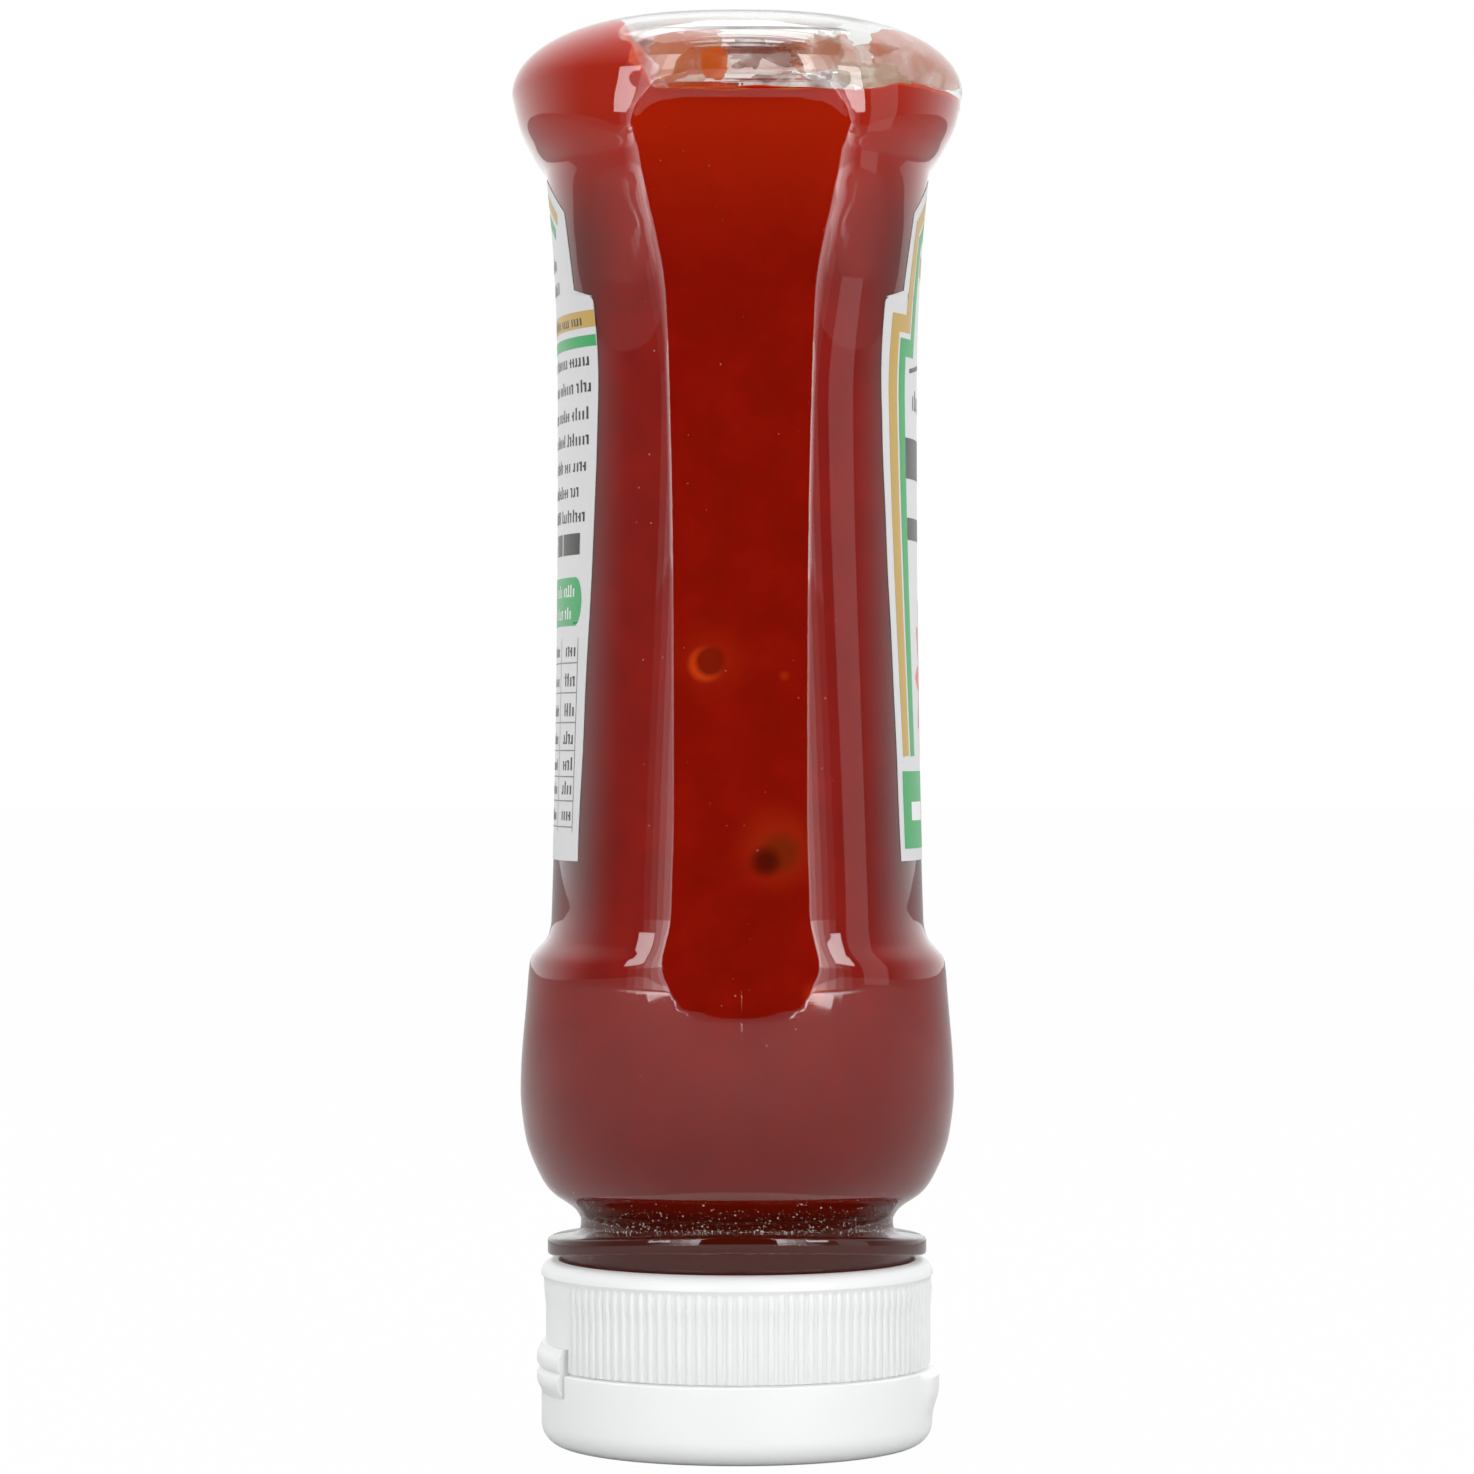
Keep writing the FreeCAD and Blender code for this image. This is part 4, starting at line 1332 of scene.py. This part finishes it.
def make_labels():
    film = printed_film("white_label_film", "#D8D8D9")
    make_label(1, "front_label_film", film, "label_front", "label_front")
    make_label(-1, "back_label_film", film, "label_back", "label_back")
    inks = {
        "gold": printed_film("gold_ink", "#C2A04E"),
        "green": printed_film("green_ink", "#2FA45C"),
        "dark": printed_film("near_black_ink", "#2A2723"),
        "grey": printed_film("grey_ink", "#77746F"),
        "red": printed_film("red_ink", "#C0261C"),
        "light_red": printed_film("light_red_ink", "#E2604E"),
        "white": printed_film("white_ink", "#ECECEC"),
    }
    front_print(inks)
    back_print(inks)


# ------------------------------------------------------------ stage, light, camera
def seen_directly(tree):
    """1 for rays that reach the camera straight or through clear plastic."""
    path = add(tree, "ShaderNodeLightPath")
    return add(tree, "ShaderNodeMath", {"operation": "MAXIMUM"},
               {0: path.outputs["Is Camera Ray"], 1: path.outputs["Is Transmission Ray"]})


def flat_sheet(name, corners, material):
    """One four-cornered sheet of the stage, its corners in metres."""
    mesh = bpy.data.meshes.new(name)
    mesh.from_pydata(corners, [], [(0, 1, 2, 3)])
    mesh.materials.append(material)
    sheet = bpy.data.objects.new(name, mesh)
    bpy.context.scene.collection.objects.link(sheet)
    return sheet


def make_stage():
    """A pale floor, and a dark card in front for the side panel to mirror."""
    pale, tree, _ = new_material("pale_floor")
    plain = add(tree, "ShaderNodeBsdfDiffuse", {"Color": "#BABABA"})
    white = add(tree, "ShaderNodeEmission", {"Color": (1, 1, 1, 1), "Strength": 1.0})
    shade = add(tree, "ShaderNodeMixShader", {0: 0.985}, {1: plain, 2: white})
    finished(pale, add(tree, "ShaderNodeMixShader", links={0: seen_directly(tree), 1: plain, 2: shade}))
    size = 6.0
    corners = [(-size, -size, 0), (size, -size, 0), (size, size, 0), (-size, size, 0)]
    flat_sheet("floor", corners, pale)

    dark, tree, _ = new_material("dark_flag_cloth")
    finished(dark, add(tree, "ShaderNodeBsdfDiffuse", {"Color": "#0A0A0A"}))
    y, half, foot, top = -0.78, 0.32, 0.05, 1.3
    card = flat_sheet("dark_card", [(-half, y, foot), (half, y, foot), (half, y, top), (-half, y, top)], dark)
    card.visible_camera = False
    card.visible_shadow = False
    card.visible_diffuse = False
    card.visible_transmission = False


def make_world():
    """White where it is seen directly; for light and gloss, brighter behind and above."""
    world = bpy.data.worlds.new("studio")
    bpy.context.scene.world = world
    world.use_nodes = True
    tree = world.node_tree
    tree.nodes.clear()
    way = add(tree, "ShaderNodeTexCoord")
    apart = add(tree, "ShaderNodeSeparateXYZ", links={"Vector": way.outputs["Generated"]})
    behind = add(tree, "ShaderNodeMapRange", {
        "interpolation_type": "SMOOTHSTEP", "From Min": -0.2, "From Max": 0.9, "To Min": 0.17, "To Max": 1.0,
    }, {"Value": apart.outputs["Y"]})
    above = add(tree, "ShaderNodeMapRange", {"From Min": 0.3, "From Max": 0.8, "To Min": 0.0, "To Max": 0.6},
                {"Value": apart.outputs["Z"]})
    level = add(tree, "ShaderNodeMath", {"operation": "ADD"}, {0: behind, 1: above})
    studio = add(tree, "ShaderNodeBackground", {"Color": (1, 1, 1, 1)}, {"Strength": level})
    white = add(tree, "ShaderNodeBackground", {"Color": (1, 1, 1, 1), "Strength": 1.0})
    mixed = add(tree, "ShaderNodeMixShader", links={0: seen_directly(tree), 1: studio, 2: white})
    add(tree, "ShaderNodeOutputWorld", links={"Surface": mixed})


def softbox(name, place, aim, size, radiance):
    """A flat lamp that gives this brightness as its reflection is seen."""
    lamp = bpy.data.lights.new(name, "AREA")
    lamp.shape = "RECTANGLE"
    lamp.size, lamp.size_y = size
    lamp.energy = radiance * math.pi * size[0] * size[1]
    lamp_object = bpy.data.objects.new(name, lamp)
    bpy.context.scene.collection.objects.link(lamp_object)
    lamp_object.location = place
    lamp_object.rotation_euler = (Vector(aim) - Vector(place)).to_track_quat("-Z", "Y").to_euler()
    lamp_object.visible_camera = False
    return lamp_object


def fill_lamp(name, place, size, radiance):
    """Plain light on the object that no glossy or clear surface shows."""
    lamp = softbox(name, place, body_middle, size, radiance)
    lamp.visible_glossy = False
    lamp.visible_transmission = False


body_middle = (0.0, 0.0, 0.08)
strip_breadth = 0.105       # share of its distance, so that each strip meets the next
strips = ((26.5, 1.0), (32.5, 0.6), (38.5, 0.35), (44.5, 0.15), (50.5, 0.06))
# Upright lamps of each strip: name, distance, height, length, brightness
upright_lamps = (("softbox", 1.1, 0.56, 0.84, 6.8), ("spill", 1.06, 0.095, 0.09, 3.0),
                 ("low_lamp", 1.06, 0.025, 0.048, 6.0))
floor_away, floor_length = 0.84, 0.42
head_azimuth, head_away, head_lamp_z = 50, 1.05, 0.3


def make_lights():
    """At each side a fan of strips that fades outwards; then windows, fills and a ceiling."""
    for side, name, share in ((-1, "left", 0.85), (1, "right", 1.0)):
        for azimuth, fade in strips:
            turn = math.radians(azimuth)
            out_x, out_y = side * math.sin(turn), -math.cos(turn)
            strip_name = f"{name}_{azimuth:.0f}"
            for kind, away, z, tall, radiance in upright_lamps:
                softbox(f"{strip_name}_{kind}", (away * out_x, away * out_y, z), (0.0, 0.0, z),
                        (away * strip_breadth, tall), radiance * fade * share)
            lamp = softbox(strip_name + "_floor_lamp", (floor_away * out_x, floor_away * out_y, 0.002),
                           body_middle, (floor_away * strip_breadth, floor_length), 7.0 * fade * share)
            lamp.rotation_euler = (math.pi, 0.0, -side * turn)
            lamp.visible_diffuse = False
        turn = math.radians(head_azimuth)
        place = (side * head_away * math.sin(turn), -head_away * math.cos(turn), head_lamp_z)
        softbox(name + "_head_softbox", place, (0.0, 0.0, head_lamp_z), (0.27, 0.15), 7.0 * share)
        fill_lamp(name + "_side_fill", (side * 1.3, -0.25, 0.4), (0.8, 0.8), 0.5)
    softbox("right_window", (1.15, -0.32, 0.35), body_middle, (0.5, 0.7), 0.65)
    softbox("top_softbox", (0.0, 0.1, 1.25), body_middle, (0.9, 0.9), 1.9)
    fill_lamp("front_fill", (-0.3, -1.3, 0.35), (1.4, 0.9), 0.3)


def make_camera():
    """A long lens level with the bottle's middle, all but square to a side panel."""
    lens = bpy.data.cameras.new("camera")
    lens.sensor_width = 36.0
    lens.lens = 130.9
    lens.shift_y = 0.0061
    lens.clip_start = 0.01
    camera = bpy.data.objects.new("camera", lens)
    bpy.context.scene.collection.objects.link(camera)
    turned = math.radians(0.9)
    distance = 0.589
    camera.location = (-distance * math.sin(turned), -distance * math.cos(turned), 0.0766)
    camera.rotation_euler = (math.pi / 2, 0.0, -turned)
    bpy.context.scene.camera = camera


bpy.context.scene.view_settings.view_transform = "Standard"
cap_white = white_cap_plastic()
for make in (make_bottle, make_ketchup, make_smears, make_dust, make_cap, make_labels,
             make_stage, make_world, make_lights, make_camera):
    make()
